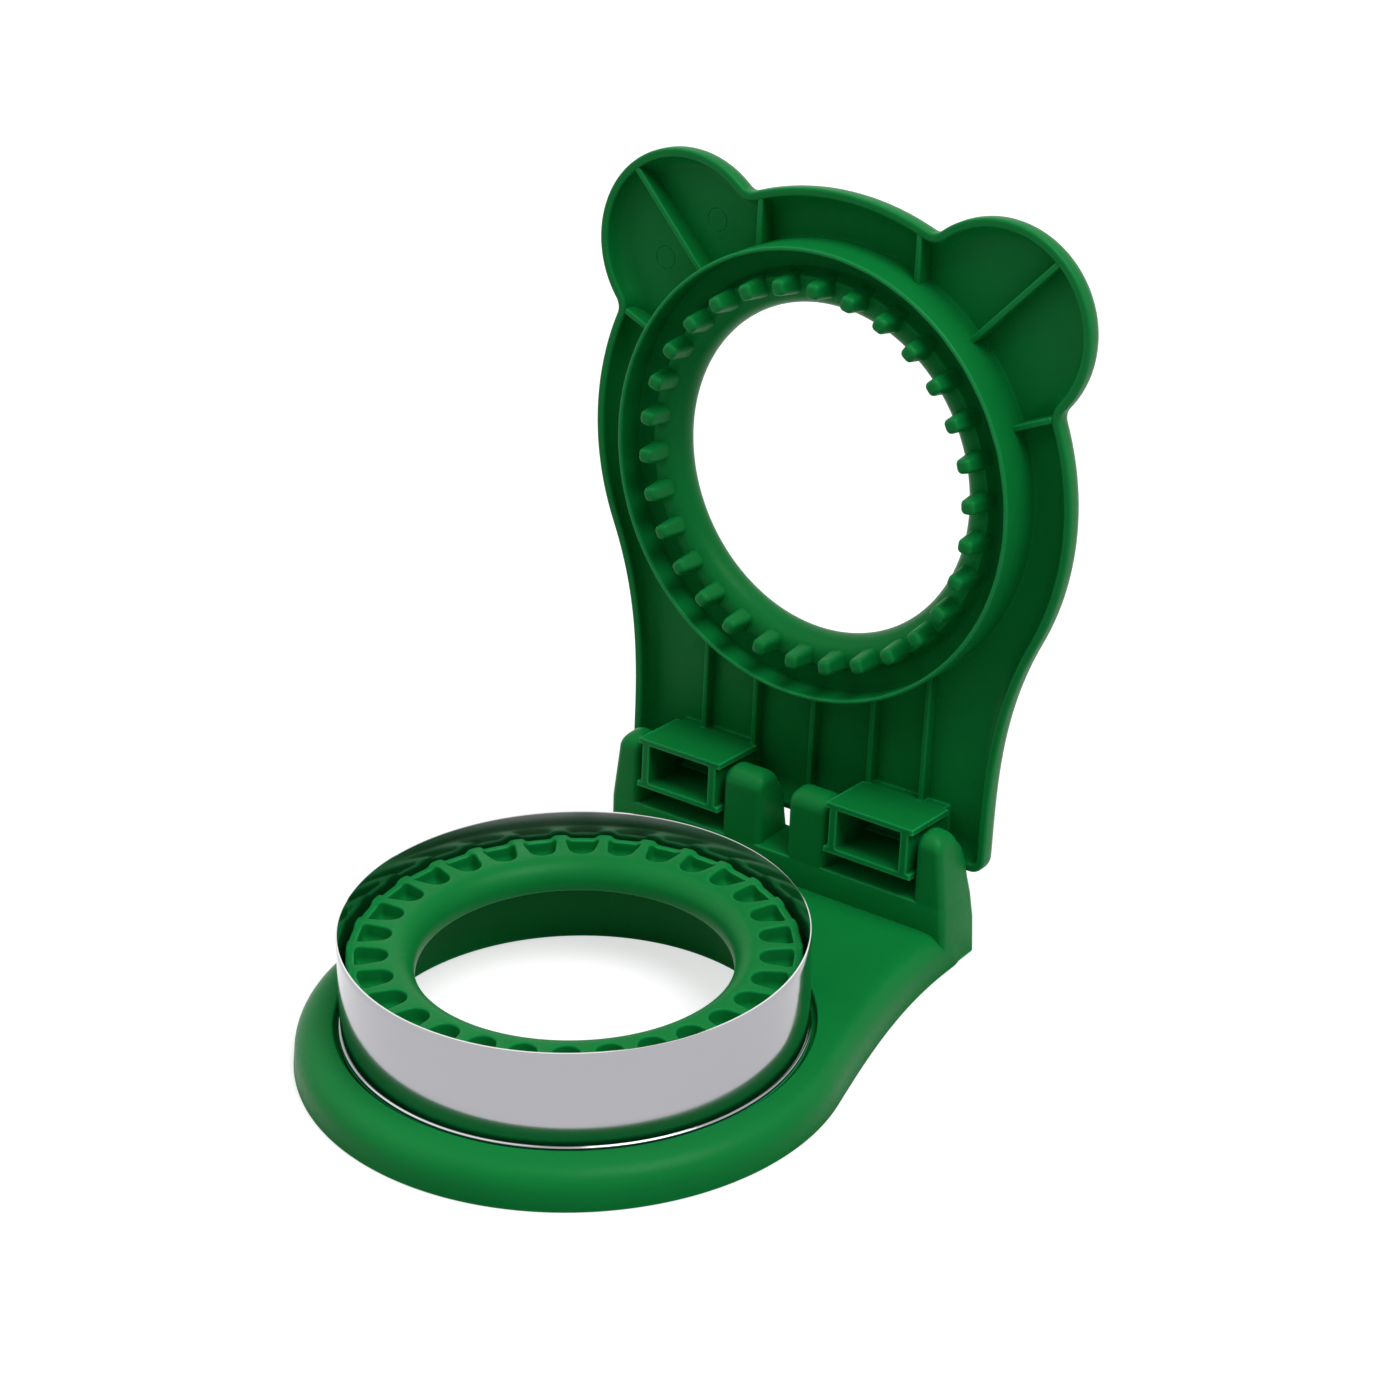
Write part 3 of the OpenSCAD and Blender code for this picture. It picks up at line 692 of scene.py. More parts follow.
def plastic_material():
    """Moulded plastic, lighter at thin edges and with less sheen in its recesses."""
    name = "green_moulded_plastic"
    found = bpy.data.materials.get(name)
    if found:
        return found
    look = bpy.context.scene.sandwich_finish
    material, tree, shader = new_material(name)
    place = tree.nodes.new("ShaderNodeTexCoord").outputs["Object"]
    mask, grain = unevenness(tree, place, scale=45, stretch=(1, 1, 1))
    patches = ranged(tree, mask, NOISE_RANGE, (0.6, 1))
    tint = blended(tree, patches, (*look.shade, 1), (*look.plastic, 1))
    # painted highlight: thin, rounded edges, found by rays cast inside the mesh, get a lighter green
    # in place of the light they catch and let through
    highlight_openness = openness(tree, look.thin, inside=True, only_local=True)
    thin = ranged(tree, highlight_openness, (0.95, 0.3), (0, 1))
    fed(tree, shader, {
        "IOR": 1.49,
        "Specular Tint": (0.6, 1, 0.7, 1),
        "Base Color": blended(tree, thin, tint, (*look.bright, 1)),
        "Roughness": ranged(tree, grain, NOISE_RANGE, (0.36, 0.46)),
        # painted shade: the sheen fades out where the surface is closed in, in place of the shade
        # that falls on its reflections in recesses
        "Specular IOR Level": ranged(tree, openness(tree, look.recess), (0.45, 0.9), (0, 0.14)),
        "Normal": bump(tree, grain),
    })
    return material


def steel_material():
    """Polished steel with faint lines, a bright ground edge and a duller inside."""
    name = "polished_steel"
    found = bpy.data.materials.get(name)
    if found:
        return found
    look = bpy.context.scene.sandwich_finish
    sizes = bpy.context.scene.sandwich_cutter
    material, tree, shader = new_material(name)
    place = tree.nodes.new("ShaderNodeTexCoord").outputs["Object"]
    height = added(tree, "ShaderNodeSeparateXYZ", {"Vector": place}).outputs["Z"]
    edge = (sizes.top - sizes.wall / 4, sizes.top - sizes.wall / 8)
    ground = ranged(tree, height, edge, (0, 1))
    level = added(tree, "ShaderNodeVectorMath", {
        0: place, 1: (1, 1, 0), 2: (0, -AXIS_Y, 0)
    }, operation="MULTIPLY_ADD")
    radius = added(tree, "ShaderNodeVectorMath", {0: level.outputs["Vector"]}, operation="LENGTH")
    wall = (sizes.radius - sizes.wall, sizes.radius - sizes.wall / 2)
    inside = ranged(tree, radius.outputs["Value"], wall, (0.04, 0))
    mask = unevenness(tree, place, scale=60, stretch=(0.3, 0.3, 8))[0]
    lines = ranged(tree, mask, NOISE_RANGE, (0.08, 0.14))
    fed(tree, shader, {
        "Metallic": 1,
        "Base Color": blended(tree, ground, (*look.steel, 1), (*look.ground, 1)),
        "Roughness": calculated(tree, "ADD", inside, lines),
        "Normal": bump(tree, mask),
    })
    return material


# The base moulding

def pocket_ring(outline, sizes, wide, deep):
    """One edge of the hollow under the tail, which closes where the rim is narrow."""
    wall = sizes.seat + sizes.skin
    ring = []
    for point in outline:
        inner = shrunk(point, sizes.rim)
        room = max(inner.length - wall, 0)
        share = min(room / (2 * sizes.rim), 1)
        share = share * share * (3 - 2 * share)
        place = inner.normalized() * wall
        if wide and room > 0:
            place = inner
        height = (sizes.height - sizes.skin) * share * deep
        ring.append(Vector((place.x, place.y, height)))
    return ring


def plate_piece(sizes):
    """The round plate with its opening, seat and hollow tail."""
    outline = plate_outline(sizes)
    under = sizes.height - sizes.skin
    foot = sizes.foot_edge
    rings = [outline_ring(outline, inset, z) for inset, z in quarter((foot, foot), foot, 270, 180, 3)]
    top = quarter((sizes.edge + sizes.draft, sizes.height - sizes.edge), sizes.edge, 180, 90, 12)
    rings += [outline_ring(outline, inset, z) for inset, z in top]
    lip = sizes.opening_edge
    mouth = quarter((sizes.opening + lip, sizes.height - lip), lip, 90, 180, 4)
    mouth += [(sizes.opening, under), (sizes.seat, under), (sizes.seat, 0)]
    rings += [round_ring(outline, radius, z) for radius, z in mouth]
    for wide, deep in ((False, 0), (False, 1), (True, 1), (True, 0)):
        rings.append(pocket_ring(outline, sizes, wide, deep))
    return lofted("base_moulding", rings, looped=True)


def back_of(sizes, z):
    """How far back the block and lugs reach at a height."""
    boss = 2 * sizes.stud
    marks = (
        (0, sizes.back),
        (sizes.back_low, sizes.back),
        (sizes.stop_low, sizes.stop_y),
        (sizes.stop_high, sizes.stop_top_y),
        (HINGE_Z, HINGE_Y + boss),
    )
    for (z0, y0), (z1, y1) in zip(marks, marks[1:]):
        if z <= z1:
            return y0 + (y1 - y0) * (z - z0) / (z1 - z0)
    reach = [HINGE_Y]
    if z < HINGE_Z + boss:
        reach.append(HINGE_Y + math.sqrt(boss ** 2 - (z - HINGE_Z) ** 2))
    crown = sizes.lug_top - sizes.lug_round
    top_y = sizes.front + sizes.lean + sizes.lug_round
    if z > crown:
        reach = [top_y + math.sqrt(max(sizes.lug_round ** 2 - (z - crown) ** 2, 0))] + reach[1:]
    return max(reach)


def front_of(sizes, z):
    """How far forward the block and lugs reach at a height."""
    crown = sizes.lug_top - sizes.lug_round
    if z <= sizes.block_top:
        return sizes.front
    if z <= crown:
        share = (z - sizes.block_top) / (crown - sizes.block_top)
        return sizes.front + sizes.lean * share
    top_y = sizes.front + sizes.lean + sizes.lug_round
    return top_y - math.sqrt(max(sizes.lug_round ** 2 - (z - crown) ** 2, 0))


def round_side(x, radius, top, z):
    """Where an upright side lies at a height, under a round corner."""
    rise = z - (top - radius)
    if rise <= 0:
        return x
    return x + radius - math.sqrt(max(radius ** 2 - rise ** 2, 0))


def widened(low, high, room):
    """Two sides moved apart about their middle, where they are too close."""
    if high - low >= room:
        return low, high
    middle = (high + low) / 2
    return middle - room / 2, middle + room / 2


def lug_piece(sizes, side_x, inner_x, outer_r):
    """One lug, rounded at its top and its upright edges."""
    # how far a lug keeps inside the block, and how thin it may get at its top
    within = 0.02 * MM
    room = 0.15 * MM
    crown = sizes.lug_top - sizes.lug_round
    # rings lie where the back bends, and close together up the round top
    levels = [12 * MM, sizes.block_top, 18 * MM, 21 * MM, 23 * MM, 24.5 * MM]
    levels += [crown + sizes.lug_round * math.sin(math.radians(a)) for a in range(0, 91, 6)]
    rings = []
    for z in levels:
        low_x = round_side(inner_x, sizes.corner, sizes.lug_top, z)
        high_x = -round_side(-side_x(z), outer_r, sizes.lug_top, z)
        low_x, high_x = widened(low_x, high_x, room)
        low_y = front_of(sizes, z) + within
        high_y = max(back_of(sizes, z) - within, low_y + room)
        rings.append(rounded_box((low_x, low_y), (high_x - within, high_y), sizes.upright, z))
    return lofted("lug", rings)


def block_piece(sizes, plate):
    """The low block that carries the lugs."""
    edge = sizes.block_edge
    half = plate.tail - plate.draft
    foot = 0.3 * MM
    levels = [(0, foot), (0, plate.height)]
    levels += quarter((edge, sizes.block_top - edge), edge, 180, 90, 3)
    rings = []
    for inset, z in levels:
        x = half - sizes.lean * z / sizes.block_top - inset
        low = (-x, sizes.front + inset)
        high = (x, back_of(sizes, z) - inset)
        rings.append(rounded_box(low, high, sizes.upright, z))
    return lofted("block", rings)


def cut_block(low, high, radius):
    """A round-cornered block to cut a hollow with."""
    rings = []
    for z, inset in ((low[2], 0), (high[2] - radius / 2, 0), (high[2], radius / 2)):
        near = (low[0] + inset, low[1] + inset)
        far = (high[0] - inset, high[1] - inset)
        rings.append(rounded_box(near, far, radius, z, 3))
    return lofted("hollow", rings)


def hinge_piece(sizes, plate):
    """The block with four lugs, and the hollow that is cut under them."""
    half = plate.tail - plate.draft
    shoulder_x = half - sizes.stud - sizes.shoulder
    shoulder_z = sizes.lug_top - sizes.shoulder

    def outer_side(z):
        part = (z - sizes.block_top) / (shoulder_z - sizes.block_top)
        return half - sizes.lean - (sizes.stud - sizes.lean) * max(min(part, 1), 0)

    def inner_side(z):
        return sizes.slot_in

    block = block_piece(sizes, plate)
    outer = lug_piece(sizes, outer_side, sizes.slot_out, half - sizes.stud - shoulder_x)
    inner = lug_piece(sizes, inner_side, sizes.gap, sizes.corner)
    for lug in (outer, inner):
        for tool in (lug, mirrored(lug)):
            combined(block, tool, "UNION")
    hollow = cut_block(
        (plate.rim - plate.tail, sizes.front + plate.skin, -plate.skin),
        (plate.tail - plate.rim, sizes.back - plate.skin, sizes.block_top - plate.skin),
        MM,
    )
    return block, hollow


def socket_tool(sizes, teeth):
    """A long pin that cuts the sockets of one side."""
    reach = sizes.stud_in + teeth.box_gap
    long = sizes.slot_out - sizes.slot_in + 2 * reach
    radius = sizes.stud + sizes.play
    section = ((0, 0), (radius, 0), (radius, long), (0, long))
    pin = spun("socket_pin", section, PIN_STEPS)
    turn = Matrix.Rotation(math.pi / 2, 4, "Y")
    start = Vector((sizes.slot_in - reach, HINGE_Y, HINGE_Z))
    return moved(pin, Matrix.Translation(start) @ turn)


class SANDWICH_OT_base(bpy.types.Operator):
    """Models the base moulding with its hinge block"""
    bl_idname = "sandwich.base"
    bl_label = "Base moulding"

    def execute(self, context):
        plate = context.scene.sandwich_plate
        hinge = context.scene.sandwich_hinge
        piece = plate_piece(plate)
        block, hollow = hinge_piece(hinge, plate)
        combined(piece, block, "UNION")
        combined(piece, hollow, "DIFFERENCE")
        pin = socket_tool(hinge, context.scene.sandwich_teeth)
        for tool in (pin, mirrored(pin)):
            combined(piece, tool, "DIFFERENCE")
        finished(piece, "base", "base_body", plastic_material())
        return {"FINISHED"}


# The press ring

def segment_distance(point, start, end):
    along = end - start
    share = max(min((point - start).dot(along) / along.length_squared, 1), 0)
    return (point - start - share * along).length


def pit_distance(sizes, point):
    """Distance from a notch's outline, seen from above, less than 0 inside."""
    corner = sizes.pit_narrow / 5
    nose = sizes.pit_in + corner
    end = sizes.pit_out - corner
    half = sizes.pit_narrow / 2 - corner
    wide = sizes.pit_wide / 2 - corner
    nose_end = math.pi * 0.55
    right = curve((nose + half, 0), half, math.pi, nose_end, 6) + [(end, wide), (end, 0)]
    right = [Vector(place) for place in right]
    folded = Vector((point.x, abs(point.y)))
    near = min(segment_distance(folded, a, b) for a, b in zip(right, right[1:]))
    inside = nose < folded.x < end
    for a, b in zip(right, right[1:]):
        along = b - a
        away = folded - a
        if along.x * away.y - along.y * away.x > 0:
            inside = False
    return (-near if inside else near) - corner


def pit_point(sizes, centre, toward, offset):
    """Where a line from a notch's middle reaches an offset of its outline."""
    low = 0
    high = sizes.radius - sizes.crest
    for halving in range(40):
        reach = (low + high) / 2
        if pit_distance(sizes, centre + reach * toward) < offset:
            low = reach
        else:
            high = reach
    return centre + low * toward


def press_height(sizes, point):
    """Height of the ring's top at a place, with the dip outside a notch."""
    radius = point.length
    height = sizes.top
    if radius < sizes.crest:
        fall = sizes.crest - radius
        height = sizes.top - sizes.bulge + math.sqrt(sizes.bulge ** 2 - fall ** 2)
    # the dip starts inside the notch's outer end and is deep after a millimetre
    dip_start = sizes.pit_out - 0.6 * MM
    dip_half = 0.34 * sizes.pit_wide
    dip_fade = 0.2 * sizes.pit_wide
    beyond = (radius - dip_start) / MM
    aside = 1 - (abs(point.y) - dip_half) / dip_fade
    part = max(min(beyond, 1), 0) * max(min(aside, 1), 0)
    return height - sizes.dip * part * part * (3 - 2 * part)


def cell_edge(inner, outer, half_angle, columns, rows):
    """Points round the share of the ring that holds one notch, seen from above."""
    across = [half_angle * (2 * i / columns - 1) for i in range(columns)]
    outwards = [(outer - inner) * i / rows for i in range(rows)]
    marks = [(inner, turn) for turn in across]
    marks += [(inner + step, half_angle) for step in outwards]
    marks += [(outer, -turn) for turn in across]
    marks += [(outer - step, -half_angle) for step in outwards]
    return [Vector((radius * math.cos(a), radius * math.sin(a))) for radius, a in marks]


def press_section(sizes, cutter, plate):
    """The rest of the ring's section, from the cell's inner edge round to its outer one."""
    inner_r = cutter.radius - cutter.wall
    seat_r = cutter.radius + cutter.hem_out
    under = plate.height - plate.skin
    skin = sizes.skin
    hole = sizes.crest - sizes.bulge
    # the cell with the notch reaches a little way down the round inner part
    start = sizes.crest - 0.4 * MM
    centre = (sizes.crest, sizes.top - sizes.bulge)
    start_turn = math.acos((start - sizes.crest) / sizes.bulge)
    section = curve(centre, sizes.bulge, start_turn, math.pi, 14)
    corner = sizes.lip / 4
    foot = sizes.top - sizes.bulge - sizes.lip
    section += quarter((hole + corner, foot + corner), corner, 180, 270, 3)
    section.append((hole + skin, foot))
    hollow = (sizes.bulge - skin) / 2
    section += quarter((hole + skin + hollow, centre[1]), hollow, 180, -20, 8)
    ceiling = sizes.pit_floor - skin + cutter.wall
    flange_r = plate.seat - sizes.seat_play
    shelf = cutter.foot + 2 * plate.skin
    section += [
        (sizes.crest + skin, ceiling),
        (sizes.radius - 2 * skin, ceiling),
        (sizes.radius - skin, ceiling - skin),
        (sizes.radius - skin, sizes.foot),
        (seat_r, sizes.foot),
        (seat_r, under - plate.skin),
        (flange_r, under - plate.skin),
        (flange_r, under),
        (seat_r, under),
        (seat_r, cutter.foot),
        (inner_r, cutter.foot),
        (inner_r, shelf),
        (sizes.radius, shelf + inner_r - sizes.radius),
    ]
    edge_c = (sizes.radius - sizes.edge, sizes.top - sizes.edge)
    section += quarter(edge_c, sizes.edge, 0, 90, 5)
    return start, section


def notch_rings(sizes, edge):
    """Rings from the cell's edge over the brim and down to the notch's floor."""
    outward = 0.3 * MM
    centre = Vector(((sizes.pit_in + sizes.pit_out) / 2 + outward, 0))
    towards = [(point - centre).normalized() for point in edge]
    rings = [[Vector((p.x, p.y, press_height(sizes, p))) for p in edge]]
    brim = sizes.pit_edge
    for offset, drop in quarter((brim, -brim), brim, 90, 180, 5):
        places = [pit_point(sizes, centre, toward, offset) for toward in towards]
        rings.append([Vector((p.x, p.y, press_height(sizes, p) + drop)) for p in places])
    bowl = sizes.pit_bowl
    for offset, height in quarter((-bowl - sizes.pit_lean, bowl), bowl, 0, -90, 6):
        places = [pit_point(sizes, centre, toward, offset) for toward in towards]
        rings.append([Vector((p.x, p.y, sizes.pit_floor + height)) for p in places])
    rings.append([Vector((centre.x, 0, sizes.pit_floor))] * len(edge))
    return rings


def press_cell(sizes, cutter, plate, count):
    """One notch with its share of the ring, from the hole out to the flange."""
    half_angle = math.pi / count
    inner, section = press_section(sizes, cutter, plate)
    edge = cell_edge(inner, sizes.radius - sizes.edge, half_angle, 14, 12)
    rings = notch_rings(sizes, edge)
    piece = open_ring("press_ring_piece", rings[0])
    for ring in rings[1:]:
        drawn_out(piece, ring)
    # the edge of the cell nearest the axis is selected and led round the section
    bpy.ops.mesh.select_all(action="DESELECT")
    mesh = bmesh.from_edit_mesh(piece.data)
    for side in mesh.edges:
        off = max(abs(vertex.co.xy.length - inner) for vertex in side.verts)
        if off < MM / 50 and side.is_boundary:
            side.select = True
            for vertex in side.verts:
                vertex.select = True
    bmesh.update_edit_mesh(piece.data)
    for radius, height in section[1:]:
        bpy.ops.mesh.extrude_region_move()
        mesh = bmesh.from_edit_mesh(piece.data)
        for vertex in mesh.verts:
            if vertex.select:
                away = vertex.co.xy.normalized()
                z = height
                if height > sizes.pit_floor and radius > sizes.pit_out:
                    z += press_height(sizes, away * sizes.radius) - sizes.top
                vertex.co = (away * radius).to_3d() + Vector((0, 0, z))
        bmesh.update_edit_mesh(piece.data)
    bpy.ops.mesh.select_all(action="SELECT")
    bpy.ops.mesh.remove_doubles(threshold=MERGE_REACH)
    bpy.ops.object.mode_set(mode="OBJECT")
    return moved(piece, Matrix.Rotation(half_angle, 4, "Z"))


class SANDWICH_OT_press_ring(bpy.types.Operator):
    """Models the notched press ring"""
    bl_idname = "sandwich.press_ring"
    bl_label = "Press ring"

    def execute(self, context):
        scene = context.scene
        count = scene.sandwich_teeth.count
        cell = press_cell(scene.sandwich_press, scene.sandwich_cutter, scene.sandwich_plate, count)
        piece = repeated(cell, count)
        finished(piece, "base", "press_ring", plastic_material())
        return {"FINISHED"}


# The steel cutter

def cutter_section(sizes):
    """Thin wall with a ground edge at the top and a rolled hem at the foot."""
    outer = sizes.radius
    inner = sizes.radius - sizes.wall
    ground = sizes.wall / 4
    hem_r = sizes.hem / 2
    hem_centre = (outer + sizes.hem_out - hem_r, sizes.foot + hem_r)
    low = sizes.foot + sizes.hem + hem_r
    high = sizes.top - 2 * ground
    rows = 12
    section = [(inner, sizes.foot), (outer, sizes.foot)]
    section += quarter(hem_centre, hem_r, -90, 90, 6)
    section += [(outer, low + (high - low) * i / rows) for i in range(rows + 1)]
    section += [(outer - ground, sizes.top), (inner + ground, sizes.top), (inner, high)]
    return section


class SANDWICH_OT_cutter(bpy.types.Operator):
    """Models the steel cutter ring"""
    bl_idname = "sandwich.cutter"
    bl_label = "Steel cutter"

    def execute(self, context):
        sizes = context.scene.sandwich_cutter
        piece = spun("steel_cutter", cutter_section(sizes), steps=300)
        for vertex in piece.data.vertices:
            turn = math.atan2(vertex.co.y, vertex.co.x) - sizes.lap_turn
            turn = turn % (2 * math.pi)
            if turn < sizes.lap_fade:
                part = 1 - turn / sizes.lap_fade
                radius = vertex.co.xy.length
                drawn_in = radius - sizes.lap * part * part
                vertex.co.x *= drawn_in / radius
                vertex.co.y *= drawn_in / radius
        finished(piece, "base", "cutter_ring", steel_material())
        return {"FINISHED"}


# The lid, drawn shut with z as the depth from its ring's edge

# places of the moulding marks in the left ear
MARK_PLACES = ((-31 * MM, -44.4 * MM), (-43.3 * MM, -34.2 * MM))


def lid_body(sizes):
    """Shell and ring of the lid as one skin."""
    outline = lid_outline(sizes)
    floor = sizes.back - sizes.skin
    rings = []
    levels = quarter((sizes.edge, sizes.back - sizes.edge), sizes.edge, 90, 180, 12)
    rim_z = sizes.rim_depth + sizes.rim_edge
    levels += quarter((sizes.rim_edge, rim_z), sizes.rim_edge, 180, 270, 4)
    levels += quarter((sizes.rim - sizes.rim_edge, rim_z), sizes.rim_edge, -90, 0, 4)
    levels += quarter((sizes.rim + sizes.fillet, floor - sizes.fillet), sizes.fillet, 180, 90, 8)
    rings += [outline_ring(outline, inset, z) for inset, z in levels]
    small = sizes.small_edge
    half = sizes.ring_wall / 2
    section = quarter((sizes.ring + small, floor - small), small, 90, 180, 3)
    section += quarter((sizes.ring - half, half), half, 0, -180, 8)
    section += quarter(
        (sizes.ring - sizes.ring_wall - small, sizes.channel - small), small, 0, 90, 3
    )
    section.append((sizes.channel_in + small, sizes.channel))
    section.append((sizes.channel_in - small / 2, sizes.channel - small))
    shoulder = sizes.channel_in - MM
    section.append((shoulder, sizes.crest + small * 1.5))
    section.append((shoulder - small / 2, sizes.crest + small / 2))
    section.append((shoulder - small * 1.5, sizes.crest))
    bull = (sizes.back - sizes.crest) / 2
    section += quarter((sizes.throat + bull, sizes.crest + bull), bull, 270, 90, 24)
    rings += [round_ring(outline, radius, z) for radius, z in section]
    return lofted("lid_piece", rings, looped=True)


def tooth_piece(sizes, lid):
    """One tooth: a block with round edges, wider at its root."""
    root = lid.channel
    half_long = sizes.long / 2
    half_wide = sizes.wide / 2
    edge = sizes.edge
    # the tip's flat end is drawn in a little further than its round edge
    levels = [(1.15 * edge, -sizes.out)]
    levels += quarter((edge, edge - sizes.out), edge, 270, 180, 8)
    levels.append((-sizes.draft, root))
    rings = []
    for inset, z in levels:
        rings.append(rounded_box(
            (sizes.circle - half_long + inset, -half_wide + inset),
            (sizes.circle + half_long - inset, half_wide - inset),
            edge - inset / 2,
            z,
            6,
        ))
    return lofted("tooth", rings)


def rib_piece(sizes, start, end, top, floor):
    """A thin straight rib with a rounded top, between two places on the floor."""
    start = Vector(start)
    end = Vector(end)
    half = sizes.rib / 2
    edge = sizes.rib * 0.3
    long = (end - start).length
    levels = [(0, floor)]
    levels += quarter((edge, top + edge), edge, 180, 270, 4)
    rings = [
        rounded_box((inset, inset - half), (long - inset, half - inset), edge / 2, z, 2)
        for inset, z in levels
    ]
    piece = lofted("rib", rings)
    turn = Matrix.Rotation(heading(start, end), 4, "Z")
    return moved(piece, Matrix.Translation((start.x, start.y, 0)) @ turn)


def rib_pieces(sizes, lid):
    """All the ribs: one in the middle and five on each side."""
    # the ribs end inside the floor and the rim, and just below the rim's edge
    floor = lid.back - lid.skin + 0.2 * MM
    reach = lid.rim - 0.3 * MM
    root = lid.ring - lid.ring_wall / 2
    low = sizes.low_rib
    high = lid.rim_depth + 0.1 * MM
    ribs = [rib_piece(sizes, (0, root), (0, HINGE_Y - lid.rim), low, floor)]
    half = []
    for x in (sizes.rib_x, sizes.rib_x2):
        near = math.sqrt(root ** 2 - x ** 2)
        half.append(rib_piece(sizes, (x, near), (x, sizes.box_near + JOIN), low, floor))
    x = sizes.nick_rib
    far = -math.sqrt(lid.radius ** 2 - x ** 2) + reach
    half.append(rib_piece(sizes, (x, far), (x, -math.sqrt(root ** 2 - x ** 2)), high, floor))
    ear_far = math.hypot(lid.ear_x, lid.ear_y) + lid.ear_radius
    for turn, far in ((sizes.ear_rib, ear_far), (sizes.side_rib, lid.radius)):
        away = Vector((math.cos(turn), -math.sin(turn)))
        half.append(rib_piece(sizes, away * root, away * (far - reach), high, floor))
    ribs += half
    ribs += [mirrored(rib) for rib in half]
    return ribs


def h_ring(low, high, lip, plate, height):
    """A level outline like an H on its side: two plates joined by a narrower body."""
    x0, y0 = low
    x1, y1 = high
    places = (
        (x0, y0), (x1, y0), (x1, y0 + plate), (x1 - lip, y0 + plate), (x1 - lip, y1 - plate),
        (x1, y1 - plate), (x1, y1), (x0, y1), (x0, y1 - plate), (x0 + lip, y1 - plate),
        (x0 + lip, y0 + plate), (x0, y0 + plate),
    )
    return [Vector((x, y, height)) for x, y in places]


def hinge_box_piece(sizes, hinge, lid):
    """A hollow box with overhanging plates and a stud on each side."""
    x0 = hinge.slot_in + sizes.box_gap
    x1 = hinge.slot_out - sizes.box_gap
    lip = sizes.box_lip
    near = sizes.box_near
    floor = lid.back - lid.skin
    wall = lid.back - lid.edge
    top = -sizes.box_out
    low = (x0, near)
    # a little short of the lid's end, so that no two faces coincide
    high = (x1, lid.end - 0.1 * MM)
    piece = lofted("hinge_box", [h_ring(low, high, lip, sizes.box_plate, z) for z in (top, wall)])
    low = (x0 + lip, near + 0.05 * MM)
    high = (x1 - lip, lid.end - lid.rim + JOIN)
    levels = (wall - JOIN, floor + JOIN)
    root = lofted("box_root", [rounded_box(low, high, 0.3 * MM, z, 2) for z in levels])
    combined(piece, root, "UNION")
    long = hinge.slot_out - hinge.slot_in + 2 * hinge.stud_in
    edge = 0.3 * MM
    section = [(0, 0)] + quarter((hinge.stud - edge, edge), edge, -90, 0, 3)
    section += quarter((hinge.stud - edge, long - edge), edge, 0, 90, 3) + [(0, long)]
    stud = spun("stud", section, PIN_STEPS)
    start = Vector((hinge.slot_in - hinge.stud_in, HINGE_Y, HINGE_Z - lid.seat))
    moved(stud, Matrix.Translation(start) @ Matrix.Rotation(math.pi / 2, 4, "Y"))
    combined(piece, stud, "UNION")
    thick = lip + sizes.box_side
    low = (x0 + thick, near + sizes.box_plate)
    hollow = lofted("box_hollow", [
        rounded_box(low, (x1 - thick, lid.end - far), JOIN, z, 3)
        for z, far in ((top - MM, sizes.box_plate), (floor, lid.rim))
    ])
    combined(piece, hollow, "DIFFERENCE")
    return softened(piece, sizes.box_edge)


def mark_piece(sizes, floor):
    """A tool that cuts a faint round moulding mark into the lid's floor."""
    groove = sizes.mark_groove
    section = [
        (sizes.mark - 3 * groove, floor - MM),
        (sizes.mark, floor - MM),
        (sizes.mark, floor),
        (sizes.mark - groove, floor + groove),
        (sizes.mark - 2 * groove, floor + groove),
        (sizes.mark - 3 * groove, floor),
    ]
    return spun("mark", section, PIN_STEPS)


class SANDWICH_OT_lid(bpy.types.Operator):
    """Models the lid with its ears, teeth, ribs and hinge boxes"""
    bl_idname = "sandwich.lid"
    bl_label = "Bear-eared lid"

    def execute(self, context):
        scene = context.scene
        lid = scene.sandwich_lid
        hinge = scene.sandwich_hinge
        sizes = scene.sandwich_teeth
        piece = lid_body(lid)
        for x, y in MARK_PLACES:
            mark = mark_piece(sizes, lid.back - lid.skin)
            moved(mark, Matrix.Translation((x, y, 0)))
            combined(piece, mark, "DIFFERENCE")
        tooth = moved(tooth_piece(sizes, lid), Matrix.Rotation(math.pi / sizes.count, 4, "Z"))
        teeth = repeated(tooth, sizes.count)
        combined(piece, joined(teeth, *rib_pieces(sizes, lid)), "UNION")
        box = hinge_box_piece(sizes, hinge, lid)
        joined(piece, box, mirrored(box))
        swing = Matrix.Rotation(-OPEN_ANGLE, 4, "X")
        to_hinge = Matrix.Translation((0, -HINGE_Y, lid.seat - HINGE_Z))
        moved(piece, Matrix.Translation((0, HINGE_Y, HINGE_Z)) @ swing @ to_hinge)
        finished(piece, "lid", "lid", plastic_material())
        return {"FINISHED"}


# Floor, light and camera

def floor_material(look):
    """Pale floor that the camera and the steel see as white, with the shadow kept."""
    material, tree, shader = new_material("pale_floor")
    seen = ray_is(tree, "Is Camera Ray", "Is Glossy Ray")
    fed(tree, shader, {
        "Base Color": (*look.floor, 1),
        "Roughness": 0.9,
        "Specular IOR Level": 0.1,
        "Emission Color": (1, 1, 1, 1),
        "Emission Strength": ranged(tree, seen, (0, 1), (0, look.glow)),
    })
    return material


def white_world(look):
    """White behind the object, and a softer dome that lights it."""
    world = bpy.data.worlds.new("studio")
    bpy.context.scene.world = world
    world.use_nodes = True
    tree = world.node_tree
    seen = ray_is(tree, "Is Camera Ray", "Is Glossy Ray", "Is Transmission Ray")
    fed(tree, tree.nodes["Background"], {
        "Color": (1, 1, 1, 1),
        "Strength": ranged(tree, seen, (0, 1), (look.dome, 1)),
    })


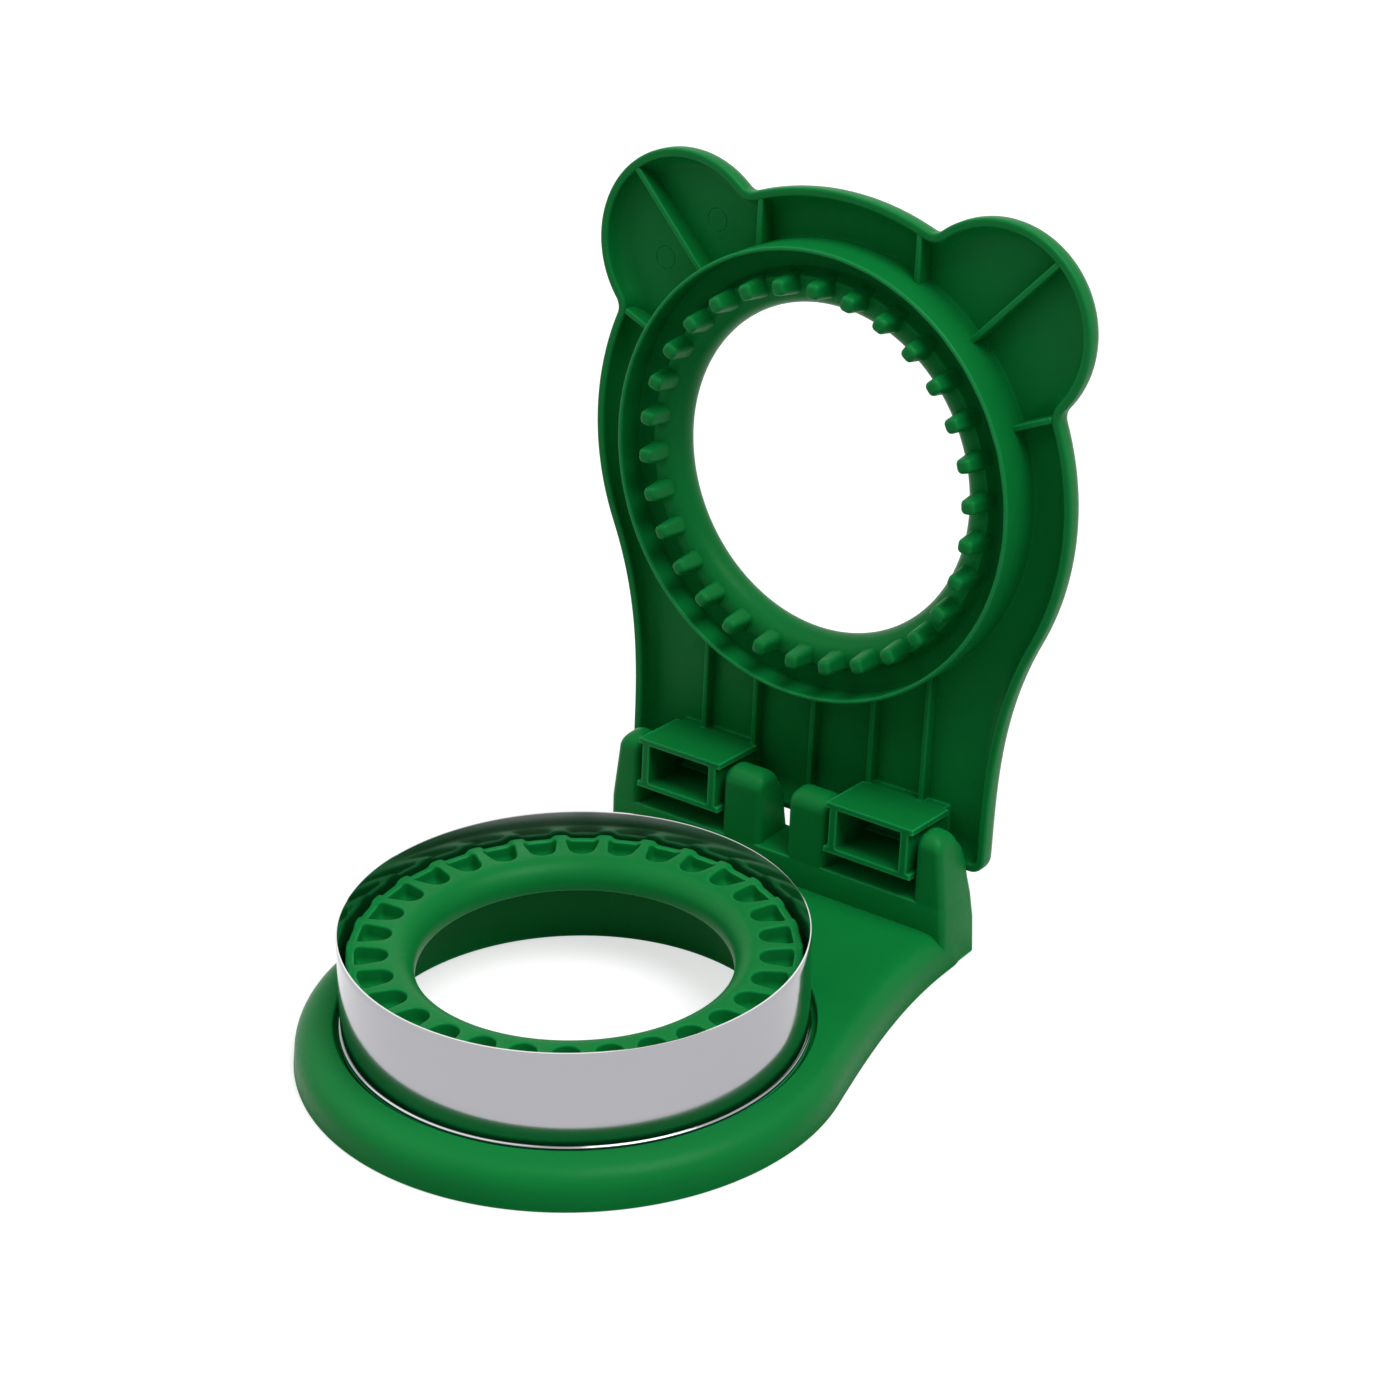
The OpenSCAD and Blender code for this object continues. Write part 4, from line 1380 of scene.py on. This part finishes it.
def sun(name, azimuth, elevation, strength, softness):
    """A soft lamp that shines from a direction, in degrees."""
    bpy.ops.object.light_add(type="SUN")
    lamp = bpy.context.object
    lamp.name = name
    lamp.data.energy = strength
    lamp.data.angle = math.radians(softness)
    turn = math.radians(azimuth)
    rise = math.radians(elevation)
    away = Vector((
        math.sin(turn) * math.cos(rise), -math.cos(turn) * math.cos(rise), math.sin(rise)
    ))
    lamp.rotation_euler = away.to_track_quat("Z", "Y").to_euler()


class SANDWICH_OT_stage(bpy.types.Operator):
    """Sets the floor, the light and the camera"""
    bl_idname = "sandwich.stage"
    bl_label = "Stage"

    def execute(self, context):
        look = context.scene.sandwich_finish
        bpy.ops.object.select_all(action="DESELECT")
        bpy.ops.mesh.primitive_plane_add(size=12)
        floor = context.object
        floor.name = "floor"
        floor.data.materials.append(floor_material(look))
        white_world(look)
        sun("key_light", azimuth=86, elevation=64, strength=2.1, softness=35)
        sun("fill_light", azimuth=-55, elevation=52, strength=0.7, softness=60)
        az = look.azimuth
        el = look.elevation
        right = Vector((math.cos(az), math.sin(az), 0))
        back = Vector((math.sin(az) * math.cos(el), -math.cos(az) * math.cos(el), math.sin(el)))
        up = back.cross(right)
        bpy.ops.object.camera_add()
        camera = context.object
        camera.name = "camera"
        turn = Matrix((right, up, back)).transposed().to_4x4() @ Matrix.Rotation(look.roll, 4, "Z")
        place = Vector(look.place) + Vector((0, AXIS_Y, 0))
        camera.matrix_world = Matrix.Translation(place) @ turn
        camera.data.lens = look.lens
        camera.data.sensor_width = 36
        camera.data.clip_start = 0.01
        camera.data.clip_end = 50
        context.scene.camera = camera
        context.scene.view_settings.view_transform = "Standard"
        return {"FINISHED"}


class SANDWICH_PT_panel(bpy.types.Panel):
    """Lists the pieces of the sandwich cutter"""
    bl_label = "Sandwich cutter"
    bl_idname = "SANDWICH_PT_panel"
    bl_space_type = "VIEW_3D"
    bl_region_type = "UI"
    bl_category = "Sandwich"

    def draw(self, context):
        for operator in OPERATORS:
            self.layout.operator(operator.bl_idname)
        for name, group in GROUPS.items():
            column = self.layout.column(heading=group.__doc__)
            for entry in group.__annotations__:
                column.prop(getattr(context.scene, name), entry)


GROUPS = {
    "sandwich_plate": PlateSizes,
    "sandwich_hinge": HingeSizes,
    "sandwich_press": PressSizes,
    "sandwich_cutter": CutterSizes,
    "sandwich_lid": LidSizes,
    "sandwich_teeth": ToothSizes,
    "sandwich_finish": Finish,
}
OPERATORS = (
    SANDWICH_OT_stage,
    SANDWICH_OT_base,
    SANDWICH_OT_press_ring,
    SANDWICH_OT_cutter,
    SANDWICH_OT_lid,
)


def register():
    for name, group in GROUPS.items():
        bpy.utils.register_class(group)
        setattr(bpy.types.Scene, name, bpy.props.PointerProperty(type=group))
    for operator in OPERATORS:
        bpy.utils.register_class(operator)
    bpy.utils.register_class(SANDWICH_PT_panel)


def unregister():
    bpy.utils.unregister_class(SANDWICH_PT_panel)
    for operator in reversed(OPERATORS):
        bpy.utils.unregister_class(operator)
    for name, group in GROUPS.items():
        delattr(bpy.types.Scene, name)
        bpy.utils.unregister_class(group)


def main():
    register()
    bpy.ops.sandwich.stage()
    bpy.ops.sandwich.base()
    bpy.ops.sandwich.press_ring()
    bpy.ops.sandwich.cutter()
    bpy.ops.sandwich.lid()


if __name__ == "__main__":
    main()
